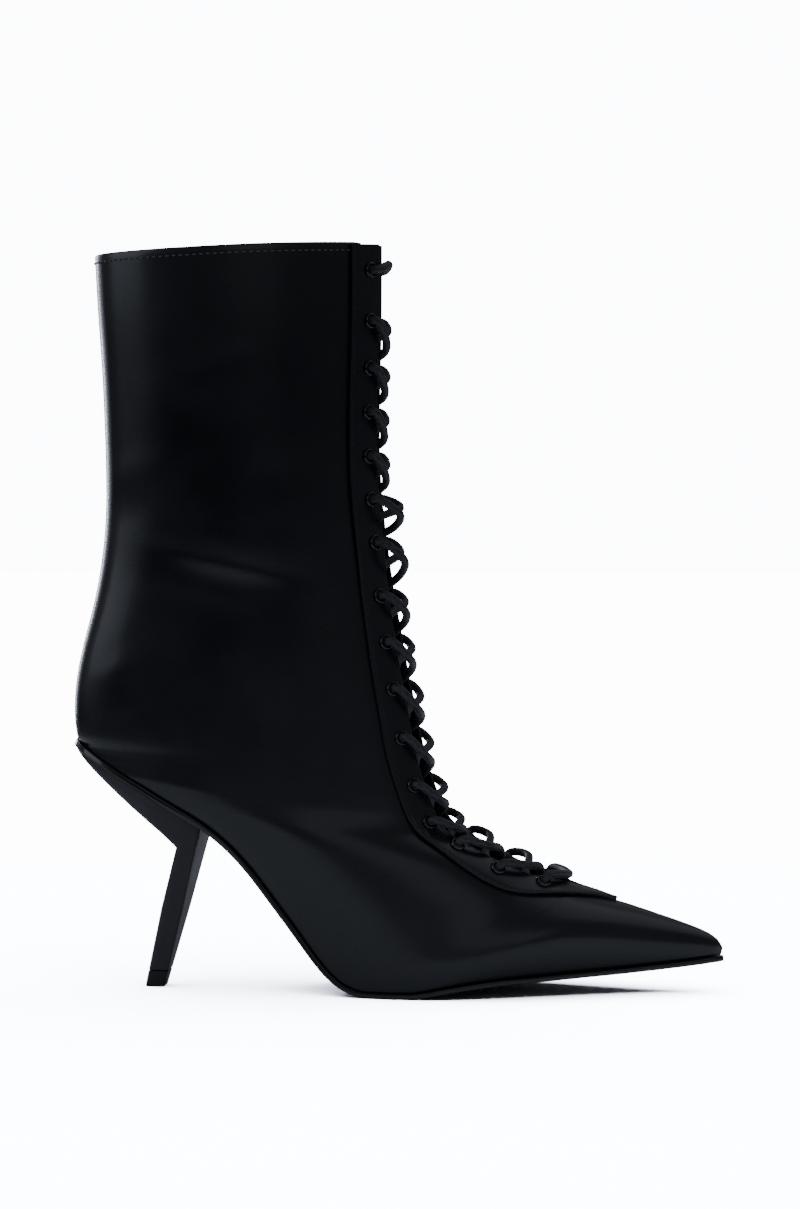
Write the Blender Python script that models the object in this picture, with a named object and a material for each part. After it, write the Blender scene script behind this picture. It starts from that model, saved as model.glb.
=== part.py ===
"""A pointed lace-up ankle boot on a slanted blade heel, made for the right foot.

+X runs to the toe, +Z is up and -Y is the outer side, the one of the little toe.
Every length is in metres.
"""

import math

import bmesh
import bpy
import numpy as np
from mathutils import Matrix, Vector

# Driving sizes of the last and of the shaft.
BOOT_LENGTH = 0.2510
BALL_WIDTH = 0.0780
COLLAR_WIDTH = 0.0730
HEEL_HEIGHT = 0.0935
TOE_SPRING = 0.0120
SHAFT_RISE = 0.1935

# Driving sizes of the pieces.
WALL = 0.0018
CLEARANCE = 0.0003
SOLE_THICKNESS = 0.0022
SOLE_EDGE = 0.0008
INSOLE_THICKNESS = 0.0015
BAND_WIDTH = 0.0140
BAND_THICKNESS = 0.0016
BAND_SEAT = 0.0004
THROAT_WIDTH = 0.0270
TONGUE_DEPTH = 0.0100
TONGUE_THICKNESS = 0.0014
TONGUE_OVERLAP = 0.0110
TONGUE_TOP_DROP = 0.0030
HEEL_TIP_DEPTH = 0.0078
HEEL_TIP_WIDTH = 0.0090
HEEL_BREAST_WIDTH = 0.0370
TOP_PIECE_HEIGHT = 0.0065
STUD_RADIUS = 0.0045
STUD_HEIGHT = 0.0015
EYELET_ROWS = 16
EYELET_INSET = 0.0050
EYELET_BORE = 0.0045
EYELET_WALL = 0.0003
EYELET_FLANGE = 0.0064
EYELET_RIM = 0.0006
LACE_DIAMETER = 0.0030

# The underside of the sole along its middle: x as a share of BOOT_LENGTH, then what
# it takes of HEEL_HEIGHT and of TOE_SPRING.
PROFILE_COLUMNS = ("x", "lift", "spring")
PROFILE = (
    (-0.510, 1.022, 0.00),
    (-0.498, 1.007, 0.00),
    (-0.446, 0.928, 0.00),
    (-0.390, 0.841, 0.00),
    (-0.339, 0.758, 0.00),
    (-0.302, 0.698, 0.00),
    (-0.263, 0.618, 0.00),
    (-0.223, 0.505, 0.00),
    (-0.183, 0.366, 0.00),
    (-0.151, 0.253, 0.00),
    (-0.124, 0.158, 0.00),
    (-0.100, 0.084, 0.00),
    (-0.072, 0.028, 0.00),
    (-0.036, 0.000, 0.00),
    (0.030, 0.000, 0.00),
    (0.060, 0.000, 0.08),
    (0.096, 0.000, 0.22),
    (0.155, 0.000, 0.40),
    (0.247, 0.000, 0.54),
    (0.335, 0.000, 0.66),
    (0.394, 0.000, 0.76),
    (0.458, 0.000, 0.89),
    (0.500, 0.000, 1.00),
    (0.510, 0.000, 1.02),
)

# The feather edge, where upper and sole meet: x as a share of BOOT_LENGTH, then the
# reach to the outer and to the inner side as shares of BALL_WIDTH.
FEATHER_COLUMNS = ("x", "outer", "inner")
FEATHER = (
    (-0.4980, 0.000, 0.000),
    (-0.4955, 0.066, 0.066),
    (-0.4885, 0.124, 0.122),
    (-0.4730, 0.199, 0.196),
    (-0.4420, 0.269, 0.263),
    (-0.3940, 0.323, 0.310),
    (-0.3390, 0.333, 0.314),
    (-0.2790, 0.314, 0.276),
    (-0.2190, 0.288, 0.231),
    (-0.1590, 0.295, 0.224),
    (-0.1000, 0.333, 0.263),
    (-0.0400, 0.378, 0.340),
    (0.0200, 0.410, 0.410),
    (0.0720, 0.417, 0.455),
    (0.1200, 0.397, 0.462),
    (0.1790, 0.340, 0.417),
    (0.2390, 0.263, 0.346),
    (0.2990, 0.186, 0.276),
    (0.3590, 0.115, 0.212),
    (0.4100, 0.060, 0.158),
    (0.4500, 0.018, 0.118),
    (0.4780, -0.010, 0.090),
    (0.4920, -0.026, 0.076),
    (0.4985, -0.051, 0.051),
)

# Sections of the upper, from the collar over the heel to the toe. front_x and back_x
# are shares of BOOT_LENGTH. The front point takes front_lift of HEEL_HEIGHT and
# front_rise of SHAFT_RISE. The back point stands back_rise of SHAFT_RISE over the
# seat, and from FIRST_OPEN on it runs along the sole. shaft is a share of
# COLLAR_WIDTH, and outer, inner and ridge are shares of BALL_WIDTH. The powers round
# or point the section at its front and at its back. gap is the way from the ridge to
# the band's front edge as a share of THROAT_WIDTH, band is a share of BAND_WIDTH, and
# tongue is a share of TONGUE_DEPTH.
SECTION_COLUMNS = ("front_x", "front_lift", "front_rise", "back_x", "back_rise",
                   "shaft", "outer", "inner", "ridge", "front_power", "back_power",
                   "gap", "band", "tongue")
SECTIONS = (
    (-0.019, 1.00, 1.000, -0.470, 0.960, 0.50, 0.000, 0.000, 0.000, 1.90, 0.82,
     0.167, 1.00, 1.00),
    (-0.019, 1.00, 0.884, -0.466, 0.853, 0.50, 0.000, 0.000, 0.000, 1.90, 0.82,
     0.167, 1.00, 1.00),
    (-0.021, 1.00, 0.749, -0.459, 0.737, 0.49, 0.000, 0.000, 0.000, 1.90, 0.82,
     0.167, 1.00, 1.00),
    (-0.024, 1.00, 0.615, -0.455, 0.603, 0.475, 0.000, 0.000, 0.000, 1.80, 0.82,
     0.174, 1.00, 1.00),
    (-0.020, 1.00, 0.496, -0.453, 0.484, 0.46, 0.000, 0.000, 0.000, 1.70, 0.82,
     0.185, 1.00, 0.98),
    (-0.010, 0.96, 0.417, -0.457, 0.388, 0.33, 0.110, 0.110, 0.000, 1.50, 0.78,
     0.230, 0.97, 0.96),
    (0.003, 0.90, 0.362, -0.471, 0.278, 0.20, 0.220, 0.220, 0.000, 1.30, 0.74,
     0.360, 0.90, 0.95),
    (0.019, 0.82, 0.322, -0.489, 0.195, 0.08, 0.325, 0.325, 0.000, 1.15, 0.70,
     0.460, 0.88, 0.95),
    (0.034, 0.72, 0.282, -0.501, 0.117, 0.00, 0.395, 0.395, 0.000, 1.05, 0.67,
     0.540, 0.87, 0.95),
    (0.051, 0.62, 0.249, -0.504, 0.056, 0.00, 0.395, 0.395, 0.000, 1.00, 0.65,
     0.600, 0.87, 1.00),
    (0.061, 0.54, 0.227, -0.498, 0.000, 0.00, 0.397, 0.397, 0.000, 0.97, 0.65,
     0.640, 0.87, 1.12),
    (0.071, 0.47, 0.208, -0.4885, 0.000, 0.00, 0.398, 0.398, 0.000, 0.95, 0.66,
     0.660, 0.87, 1.22),
    (0.0845, 0.40, 0.187, -0.460, 0.000, 0.00, 0.400, 0.400, 0.000, 0.94, 0.70,
     0.670, 0.88, 1.28),
    (0.102, 0.33, 0.159, -0.402, 0.000, 0.00, 0.405, 0.405, 0.000, 0.93, 0.78,
     0.680, 0.92, 1.30),
    (0.1255, 0.27, 0.149, -0.331, 0.000, 0.00, 0.415, 0.410, 0.000, 0.93, 0.85,
     0.700, 1.00, 1.32),
    (0.163, 0.20, 0.155, -0.243, 0.000, 0.00, 0.430, 0.420, 0.003, 0.93, 0.90,
     0.700, 1.10, 1.26),
    (0.205, 0.14, 0.151, -0.151, 0.000, 0.00, 0.445, 0.435, 0.008, 0.93, 0.95,
     0.600, 1.15, 1.00),
    (0.241, 0.09, 0.148, -0.060, 0.000, 0.00, 0.460, 0.455, 0.015, 0.92, 0.95,
     0.340, 1.15, 0.50),
    (0.275, 0.05, 0.146, 0.034, 0.000, 0.00, 0.470, 0.485, 0.020, 0.92, 0.95,
     0.000, 1.00, 0.30),
    (0.305, 0.02, 0.146, 0.120, 0.000, 0.00, 0.440, 0.505, 0.026, 0.95, 0.95,
     0.000, 0.45, 0.30),
    (0.3345, 0.00, 0.141, 0.199, 0.000, 0.00, 0.360, 0.440, 0.031, 1.00, 0.95,
     0.000, 0.00, 0.30),
    (0.3845, 0.00, 0.116, 0.291, 0.000, 0.00, 0.233, 0.326, 0.037, 1.00, 0.95,
     0.000, 0.00, 0.30),
    (0.428, 0.00, 0.0925, 0.3685, 0.000, 0.00, 0.136, 0.233, 0.043, 1.00, 0.95,
     0.000, 0.00, 0.30),
    (0.460, 0.00, 0.0734, 0.430, 0.000, 0.00, 0.066, 0.164, 0.047, 0.95, 0.95,
     0.000, 0.00, 0.30),
    (0.482, 0.00, 0.0568, 0.468, 0.000, 0.00, 0.021, 0.118, 0.050, 0.90, 0.95,
     0.000, 0.00, 0.30),
    (0.495, 0.00, 0.0400, 0.489, 0.000, 0.00, -0.013, 0.088, 0.051, 0.85, 0.95,
     0.000, 0.00, 0.30),
    (0.500, 0.00, 0.0260, 0.4985, 0.000, 0.00, -0.051, 0.051, 0.051, 0.85, 0.95,
     0.000, 0.00, 0.30),
)
FIRST_OPEN = 10
THROAT_END = 18

# Rings of the mesh, as places between the sections above.
SHAFT_RINGS = (0, 1, 2, 3, 4, 5, 6, 6.5, 7, 7.5, 8, 8.5, 9, 9.5, 10)
FOOT_RINGS = (10.4, 11, 11.5, 12, 12.5, 13, 13.5, 14, 14.5, 15, 15.5, 16, 16.5, 17,
              17.3, 17.6, 17.85, 18)
VAMP_RINGS = (18.5, 19, 19.5, 20)
TOE_RINGS = (21, 22, 23, 24, 24.5, 25, 25.5, 26)
TONGUE_RINGS = (1, 2, 3, 4, 5, 6, 7, 8, 9, 10, 11, 12, 13, 14, 15, 16, 17, 17.6, 18,
                18.5)
HALF_FACES = 8
TURN_WEIGHT = 0.020
BAND_FACES = 3
TONGUE_FACES = 3

# The eyelets of one side: the first and last as places between the sections, and each
# row's share of the way between them.
EYELET_FIRST = 0.44
EYELET_LAST = 16.94
EYELET_STATIONS = (0.0, 0.073, 0.141, 0.204, 0.268, 0.331, 0.394, 0.472, 0.539,
                   0.607, 0.678, 0.749, 0.807, 0.862, 0.928, 1.0)
EYELET_SIDES = 6

# How far each row's strand stands off, in cord diameters, where it leaves an eyelet
# of the outer and of the inner side for the row below.
SLACK = (
    (0.0, 0.0),
    (0.0, 0.0),
    (0.0, 0.0),
    (0.0, 0.0),
    (0.0, 0.0),
    (0.3, 1.7),
    (0.2, 0.9),
    (0.1, 0.4),
    (0.0, 0.0),
    (0.0, 0.0),
    (0.0, 0.1),
    (0.0, 0.1),
    (0.0, 0.1),
    (0.0, 0.1),
    (0.0, 0.1),
)

# Sections of the heel, from the tip up to the seat: back_x and front_x as shares of
# BOOT_LENGTH, the heights as shares of HEEL_HEIGHT. width goes from HEEL_TIP_WIDTH at
# 0 to HEEL_BREAST_WIDTH at 1, and seat is how far the sides follow the seat's outline.
HEEL_COLUMNS = ("back_x", "back_z", "front_x", "front_z", "width", "seat")
HEEL_SECTIONS = (
    (-0.3640, 0.330, -0.3270, 0.330, 0.47, 0.00),
    (-0.3380, 0.590, -0.3030, 0.590, 0.84, 0.00),
    (-0.3600, 0.650, -0.3010, 0.612, 0.88, 0.20),
    (-0.4000, 0.755, -0.2980, 0.634, 0.92, 0.55),
    (-0.4500, 0.885, -0.2960, 0.654, 0.96, 0.85),
)
HEEL_TIP_BACK = -0.3910
HEEL_TOP_BACK = -0.4990
HEEL_TOP_FRONT = -0.2940
STUD_X = -0.2170


def smooth_column(places, values, at):
    """Interpolate without overshoot, by cubic pieces between the given values."""
    steps = np.diff(places)
    slopes = np.diff(values) / steps
    tangents = np.empty(len(values))
    tangents[0] = slopes[0]
    tangents[-1] = slopes[-1]
    for i in range(1, len(values) - 1):
        before = slopes[i - 1]
        after = slopes[i]
        if before * after <= 0.0:
            tangents[i] = 0.0
            continue
        weight_before = 2 * steps[i] + steps[i - 1]
        weight_after = steps[i] + 2 * steps[i - 1]
        tangents[i] = (weight_before + weight_after) / (
            weight_before / before + weight_after / after)
    i = int(np.clip(np.searchsorted(places, at) - 1, 0, len(steps) - 1))
    t = (at - places[i]) / steps[i]
    rise = values[i + 1] - values[i]
    start = tangents[i] * steps[i]
    end = tangents[i + 1] * steps[i]
    return (values[i] + t * start + t * t * (3 * rise - 2 * start - end)
            + t * t * t * (start + end - 2 * rise))


class Table:
    """Rows of numbers with named columns, read at any place between the rows."""

    def __init__(self, columns, rows, key=None):
        data = np.array(rows, dtype=float)
        self.columns = {name: data[:, i] for i, name in enumerate(columns)}
        self.places = self.columns[key] if key else np.arange(len(rows), dtype=float)

    def at(self, name, place):
        return float(smooth_column(self.places, self.columns[name], place))


profile = Table(PROFILE_COLUMNS, PROFILE, "x")
feather = Table(FEATHER_COLUMNS, FEATHER, "x")
sections = Table(SECTION_COLUMNS, SECTIONS)


def under_height(share):
    """Height of the sole's underside at a share of the length."""
    return (profile.at("lift", share) * HEEL_HEIGHT
            + profile.at("spring", share) * TOE_SPRING)


def sole_normal(share):
    """Upward normal of the sole at a share of the length."""
    step = 0.002
    rise = under_height(share + step) - under_height(share - step)
    return Vector((-rise, 0.0, 2 * step * BOOT_LENGTH)).normalized()


def sole_point(share, level, y=0.0):
    """A point at a level over the sole's underside."""
    base = Vector((share * BOOT_LENGTH, y, under_height(share)))
    return base + sole_normal(share) * level


def feather_reach(share, side):
    """Reach of the feather edge to the outer side (-1) or the inner side (1)."""
    low = FEATHER[0][0]
    high = FEATHER[-1][0]
    name = "outer" if side < 0 else "inner"
    return feather.at(name, min(max(share, low), high)) * BALL_WIDTH


class Section:
    """One slanted cut through the upper, from its front point to its back point."""

    def __init__(self, u, depth=0.0, power=None):
        value = {name: sections.at(name, u) for name in SECTION_COLUMNS}
        spring = profile.at("spring", max(value["front_x"], 0.0)) * TOE_SPRING
        front_height = (value["front_lift"] * HEEL_HEIGHT + spring
                        + value["front_rise"] * SHAFT_RISE)
        self.front = Vector((value["front_x"] * BOOT_LENGTH, 0.0, front_height))
        level = SOLE_THICKNESS + CLEARANCE
        corner_share = SECTIONS[FIRST_OPEN][3]
        if u < FIRST_OPEN:
            corner = sole_point(corner_share, level)
            run = (value["back_x"] - corner_share) * BOOT_LENGTH
            self.back = corner + Vector((run, 0.0, value["back_rise"] * SHAFT_RISE))
        else:
            self.back = sole_point(value["back_x"], level)
        self.ridge = value["ridge"] * BALL_WIDTH
        self.front_power = power or value["front_power"]
        self.back_power = value["back_power"]
        self.chord = self.back - self.front
        self.front = self.front + self.chord.normalized() * depth
        self.chord = self.back - self.front
        self.reach = {}
        self.end = {}
        for side in (-1, 1):
            name = "outer" if side < 0 else "inner"
            half = value["shaft"] * COLLAR_WIDTH + value[name] * BALL_WIDTH
            reach = half - side * self.ridge - depth
            edge = feather_reach(value["back_x"], side) - side * self.ridge
            self.reach[side] = max(reach, 0.0)
            self.end[side] = math.pi
            if u > FIRST_OPEN:
                share = 0.9
                if reach > 0.0001:
                    share = min(max(edge / reach, 0.02), 0.995)
                self.end[side] = math.pi - math.asin(share ** (1 / self.back_power))

    def point(self, side, angle):
        """The surface at an angle: 0 at the front point, the section's end below."""
        end = self.end[side]
        along = (1 - math.cos(angle)) / (1 - math.cos(end))
        power = self.front_power if angle < math.pi / 2 else self.back_power
        out = self.reach[side] * max(math.sin(angle), 0.0) ** power
        here = self.front + self.chord * along
        here.y = self.ridge + side * out
        return here


class Skin:
    """The upper's outer face, found by section and by the way round from its ridge."""

    def __init__(self, depth_column=None, power=None):
        self.depth_column = depth_column
        self.power = power
        self.known = {}

    def section(self, u):
        depth = 0.0
        if self.depth_column:
            depth = max(sections.at(self.depth_column, u) * TONGUE_DEPTH,
                        WALL + 1.5 * CLEARANCE)
        return Section(u, depth, self.power)

    def ways(self, u, side):
        """Angles and the way round to each of them, from the ridge."""
        key = (round(u, 5), side)
        if key not in self.known:
            cut = self.section(u)
            angles = np.linspace(0.0, cut.end[side], 61)
            points = [cut.point(side, angle) for angle in angles]
            lengths = [(b - a).length for a, b in zip(points, points[1:])]
            self.known[key] = (cut, angles, np.concatenate(([0.0], np.cumsum(lengths))))
        return self.known[key]

    def angle(self, u, side, way):
        cut, angles, lengths = self.ways(u, side)
        return float(np.interp(way, lengths, angles))

    def spread_angles(self, u, side, start, count):
        """Angles from a way round to the section's end, closer where it bends."""
        cut, angles, lengths = self.ways(u, side)
        points = [cut.point(side, angle) for angle in angles]
        legs = [b - a for a, b in zip(points, points[1:])]
        turns = [0.0] + [a.angle(b, 0.0) for a, b in zip(legs, legs[1:])] + [0.0]
        measure = lengths + TURN_WEIGHT * np.cumsum(turns)
        first = np.interp(start, lengths, measure)
        return [float(np.interp(first + (measure[-1] - first) * i / count,
                                measure, angles)) for i in range(count + 1)]

    def point(self, u, way):
        """The face at a signed way from the ridge, negative to the outer side."""
        side = -1 if way < 0 else 1
        cut = self.ways(u, side)[0]
        return cut.point(side, self.angle(u, side, abs(way)))

    def normal(self, u, way):
        step_u = 0.04
        step_way = 0.0006
        along = self.point(u + step_u, way) - self.point(u - step_u, way)
        around = self.point(u, way + step_way) - self.point(u, way - step_way)
        return along.cross(around).normalized()


skin = Skin()
tongue_skin = Skin("tongue", 1.0)


def gap_way(u):
    """Way from the ridge to the band's front edge."""
    return max(sections.at("gap", u), 0.0) * THROAT_WIDTH


def band_way(u):
    """Way from the ridge to the band's rear edge."""
    return gap_way(u) + max(sections.at("band", u), 0.0) * BAND_WIDTH


def band_stretch(u):
    """How much longer the slanted way over the band is than its true width."""
    return max(sections.at("band", u), 1.0)


def eyelet_way(u):
    """Way from the ridge to the middle of the eyelets."""
    return gap_way(u) + EYELET_INSET * band_stretch(u)


def throat_way(u):
    """Way from the ridge to the upper's own edge, which the band covers."""
    hidden = EYELET_INSET + EYELET_FLANGE / 2 + 2 * CLEARANCE
    full = gap_way(u) + hidden * band_stretch(u)
    start = EYELET_LAST + 0.4
    if u <= start:
        return full
    share = min((u - start) / (THROAT_END - start), 1.0)
    return (gap_way(start) + hidden * band_stretch(start)) * math.sqrt(1 - share * share)


class Sheet:
    """A surface of welded points that is given a thickness."""

    def __init__(self):
        self.points = []
        self.index = {}
        self.faces = []
        self.limit = []
        self.turn = []

    def add(self, point, limit=1.0, turn=None):
        """Add a point, or find the one already there."""
        key = (round(point.x, 6), round(point.y, 6), round(point.z, 6))
        if key not in self.index:
            self.index[key] = len(self.points)
            self.points.append(point.copy())
            self.limit.append(limit)
            self.turn.append(turn)
        return self.index[key]

    def add_grid(self, rows, flip):
        """Add the faces between rows of point indices."""
        for low, high in zip(rows, rows[1:]):
            for i in range(len(low) - 1):
                corners = [low[i], low[i + 1], high[i + 1], high[i]]
                if flip:
                    corners.reverse()
                kept = [c for n, c in enumerate(corners) if c != corners[n - 1]]
                if len(set(kept)) == len(kept) and len(kept) > 2:
                    self.faces.append(kept)

    def normals(self):
        result = [Vector() for _ in self.points]
        for face in self.faces:
            a, b, c = (self.points[i] for i in (face[0], face[1], face[-1]))
            d = self.points[face[-2]]
            normal = (b - a).cross(c - a) + (c - d).cross(b - d)
            for i in face:
                result[i] += normal
        return [n.normalized() for n in result]

    def solid(self, name, high, low):
        """Make the solid between two offsets along the normals, with its rims."""
        normals = self.normals()
        mesh = bmesh.new()
        tops = []
        bottoms = []
        for point, normal, limit, turn in zip(self.points, normals, self.limit,
                                              self.turn):
            tops.append(mesh.verts.new(point + normal * high))
            way = normal
            if turn is not None:
                way = turn(normal)
            depth = max(low, -limit) if low < 0 else low
            bottoms.append(mesh.verts.new(point + way * depth))
        uses = {}
        for face in self.faces:
            mesh.faces.new([tops[i] for i in face])
            mesh.faces.new([bottoms[i] for i in reversed(face)])
            for n, end in enumerate(face):
                start = face[n - 1]
                uses[(start, end)] = True
        for start, end in uses:
            if (end, start) not in uses:
                mesh.faces.new((tops[end], tops[start], bottoms[start], bottoms[end]))
        return finish_mesh(name, mesh)


def finish_mesh(name, mesh):
    """Turn a bmesh into a named object with its faces pointing out."""
    bmesh.ops.recalc_face_normals(mesh, faces=mesh.faces)
    if mesh.calc_volume(signed=True) < 0.0:
        bmesh.ops.reverse_faces(mesh, faces=mesh.faces)
    data = bpy.data.meshes.new(name)
    mesh.to_mesh(data)
    mesh.free()
    data.shade_smooth()
    data.set_sharp_from_angle(angle=math.radians(35))
    piece = bpy.data.objects.new(name, data)
    bpy.context.collection.objects.link(piece)
    return piece


def loft(name, loops):
    """Make the solid through closed loops of equal length, capped at both ends."""
    mesh = bmesh.new()
    rings = [[mesh.verts.new(p) for p in loop] for loop in loops]
    for low, high in zip(rings, rings[1:]):
        for i in range(len(low)):
            mesh.faces.new((low[i - 1], low[i], high[i], high[i - 1]))
    mesh.faces.new(rings[0])
    mesh.faces.new(list(reversed(rings[-1])))
    return finish_mesh(name, mesh)


def material(name, color, roughness, metallic=0.0):
    """A plain finish of one colour."""
    made = bpy.data.materials.new(name)
    made.use_nodes = True
    shader = made.node_tree.nodes["Principled BSDF"]
    shader.inputs["Base Color"].default_value = (*color, 1.0)
    shader.inputs["Roughness"].default_value = roughness
    shader.inputs["Metallic"].default_value = metallic
    made.diffuse_color = (*color, 1.0)
    return made


def upper_sheet():
    """The upper's outer face: open at the collar, the throat and underneath."""
    sheet = Sheet()
    rings = SHAFT_RINGS + FOOT_RINGS + VAMP_RINGS + TOE_RINGS
    last = rings[-1]

    def level_turn(normal):
        return Vector((normal.x, normal.y, 0.0)).normalized()

    def tip_turn(normal):
        return Vector((1.0, 0.0, 0.0))

    for side in (-1, 1):
        rows = []
        for u in rings:
            cut = skin.ways(u, side)[0]
            start = throat_way(u) if u < THROAT_END else 0.0
            row = []
            for i, angle in enumerate(skin.spread_angles(u, side, start, HALF_FACES)):
                limit = max(0.45 * (cut.reach[-1] + cut.reach[1]) / 2, 0.0004)
                turn = None
                if u == rings[0]:
                    turn = level_turn
                elif u == last:
                    turn = tip_turn
                    limit = WALL * 1.4
                elif i == HALF_FACES and u >= FIRST_OPEN:
                    floor = sole_normal(sections.at("back_x", u))
                    turn = flat_turn(floor)
                row.append(sheet.add(cut.point(side, angle), limit, turn))
            rows.append(row)
        sheet.add_grid(rows, side > 0)
    return sheet


def flat_turn(floor):
    """Turn a normal into the plane of the sole."""
    def turn(normal):
        return (normal - floor * normal.dot(floor)).normalized()
    return turn


def make_upper():
    return upper_sheet().solid("upper", 0.0, -WALL)


def eyelet_path():
    """The places of one side's eyelets, at the stations along their line."""
    places = np.linspace(EYELET_FIRST, EYELET_LAST, 160)
    points = [skin.point(u, -eyelet_way(u)) for u in places]
    lengths = [(b - a).length for a, b in zip(points, points[1:])]
    ways = np.concatenate(([0.0], np.cumsum(lengths)))
    stations = np.interp(np.linspace(0, 1, EYELET_ROWS),
                         np.linspace(0, 1, len(EYELET_STATIONS)), EYELET_STATIONS)
    return [float(np.interp(s * ways[-1], ways, places)) for s in stations]


class Eyelet:
    """Where one eyelet sits on the band, and the way that it faces."""

    def __init__(self, u, side):
        self.u = u
        self.side = side
        way = side * eyelet_way(u)
        self.seat = skin.point(u, way)
        self.axis = skin.normal(u, way)

    def at(self, offset):
        return self.seat + self.axis * offset

    def frame(self, offset):
        turn = self.axis.to_track_quat("Z", "X").to_matrix().to_4x4()
        return Matrix.Translation(self.at(offset)) @ turn


def band_sheet():
    """The eyelet band round the throat, cut from the upper's own face."""
    sheet = Sheet()
    for side in (-1, 1):
        rows = []
        for u in SHAFT_RINGS + FOOT_RINGS + VAMP_RINGS:
            row = []
            front = gap_way(u)
            rear = band_way(u)
            for i in range(BAND_FACES + 1):
                way = front + (rear - front) * i / BAND_FACES
                row.append(sheet.add(skin.point(u, side * way)))
            rows.append(row)
        sheet.add_grid(rows, side > 0)
    return sheet


def make_eyestay(eyelets):
    """The band with a hole for each eyelet."""
    band = band_sheet().solid("eyestay", BAND_SEAT + BAND_THICKNESS, BAND_SEAT)
    drill = bmesh.new()
    radius = EYELET_BORE / 2 + EYELET_WALL + CLEARANCE
    for eyelet in eyelets:
        bmesh.ops.create_cone(drill, cap_ends=True, segments=EYELET_SIDES,
                              radius1=radius, radius2=radius,
                              depth=BAND_THICKNESS * 3,
                              matrix=eyelet.frame(BAND_SEAT + BAND_THICKNESS / 2))
    cutter = finish_mesh("eyelet_holes", drill)
    cutter.hide_render = True
    cutter.display_type = "WIRE"
    cut = band.modifiers.new("holes", "BOOLEAN")
    cut.operation = "DIFFERENCE"
    cut.solver = "EXACT"
    cut.object = cutter
    return band


def make_eyelet(name, eyelet):
    """A flanged ring: a sloped rim outside and a barrel through the band."""
    bore = EYELET_BORE / 2
    barrel = bore + EYELET_WALL
    rim = EYELET_FLANGE / 2
    seat = BAND_SEAT + BAND_THICKNESS + 2 * CLEARANCE
    inner_end = -BAND_THICKNESS - 2 * CLEARANCE
    outline = ((bore, EYELET_RIM), (rim, 0.0), (barrel, 0.0), (barrel, inner_end),
               (bore, inner_end))
    frame = eyelet.frame(seat)
    mesh = bmesh.new()
    rings = []
    for i in range(EYELET_SIDES):
        angle = 2 * math.pi * i / EYELET_SIDES
        rings.append([mesh.verts.new(frame @ Vector((-r * math.sin(angle),
                                                     r * math.cos(angle), z)))
                      for r, z in outline])
    for i in range(EYELET_SIDES):
        for j in range(len(outline)):
            mesh.faces.new((rings[i - 1][j - 1], rings[i - 1][j], rings[i][j],
                            rings[i][j - 1]))
    return finish_mesh(name, mesh)


def make_tongue():
    """The tongue behind the throat, seated under the vamp at its front end."""
    sheet = Sheet()
    drop = TONGUE_TOP_DROP / (SHAFT_RISE * (SECTIONS[0][2] - SECTIONS[1][2]))
    for side in (-1, 1):
        rows = []
        for u in (drop,) + TONGUE_RINGS:
            half = gap_way(u) + TONGUE_OVERLAP
            row = []
            for i in range(TONGUE_FACES + 1):
                way = side * half * i / TONGUE_FACES
                row.append(sheet.add(tongue_skin.point(u, way)))
            rows.append(row)
        sheet.add_grid(rows, side > 0)
    return sheet.solid("tongue", 0.0, -TONGUE_THICKNESS)


def sole_reach(share, side, grow):
    """Reach of an outline that stands out from the feather edge by grow."""
    low = FEATHER[0][0] * BOOT_LENGTH
    high = FEATHER[-1][0] * BOOT_LENGTH
    middle = (low + high) / 2
    half = (high - low) / 2
    scaled = middle + (share * BOOT_LENGTH - middle) * half / (half + grow)
    return feather_reach(scaled / BOOT_LENGTH, side) + grow


def sole_stations(grow):
    """Stations along the sole: its two ends, and the upper's own rings between them."""
    low = FEATHER[0][0] - grow / BOOT_LENGTH
    high = FEATHER[-1][0] + grow / BOOT_LENGTH
    rings = (FIRST_OPEN,) + FOOT_RINGS + VAMP_RINGS + TOE_RINGS
    inner = [sections.at("back_x", u) for u in rings]
    return [low] + [share for share in inner if low < share < high] + [high]


def sheet_loops(stations, grow, low, high):
    """Loops round a sheet that follows the sole between two levels."""
    loops = []
    for share in stations:
        outer = -sole_reach(share, -1, grow)
        inner = sole_reach(share, 1, grow)
        middle = (outer + inner) / 2
        loops.append([sole_point(share, low, outer), sole_point(share, low, middle),
                      sole_point(share, low, inner), sole_point(share, high, inner),
                      sole_point(share, high, middle), sole_point(share, high, outer)])
    return loops


def make_outsole():
    """The thin sole from toe tip to heel back."""
    stations = sole_stations(SOLE_EDGE)
    return loft("outsole", sheet_loops(stations, SOLE_EDGE, 0.0, SOLE_THICKNESS))


def make_insole():
    """The insole inside the upper's wall."""
    inset = -(WALL + 2 * CLEARANCE)
    narrow = 0.0015
    stations = [s for s in sole_stations(inset)
                if sole_reach(s, -1, inset) + sole_reach(s, 1, inset) > 2 * narrow]
    low = SOLE_THICKNESS + CLEARANCE
    return loft("insole", sheet_loops(stations, inset, low, low + INSOLE_THICKNESS))


def heel_loop(back, front, half, seat, count=4):
    """A loop of the heel: flat at the breast, rounded at the back."""
    shares = [i / count for i in range(count)] + [0.93, 1.0]
    sides = {}
    for side in (-1, 1):
        row = []
        for s in shares:
            here = front.lerp(back, s)
            edge = max(sole_reach(here.x / BOOT_LENGTH, side, 0.0), SOLE_EDGE)
            post = half * (1 - 0.25 * s ** 8)
            near = min((front.x - here.x) / HEEL_BREAST_WIDTH * 2, 1.0)
            row.append(Vector((here.x, side * (post + (edge - post) * near * seat),
                               here.z)))
        sides[side] = row
    return sides[-1] + list(reversed(sides[1]))


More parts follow.
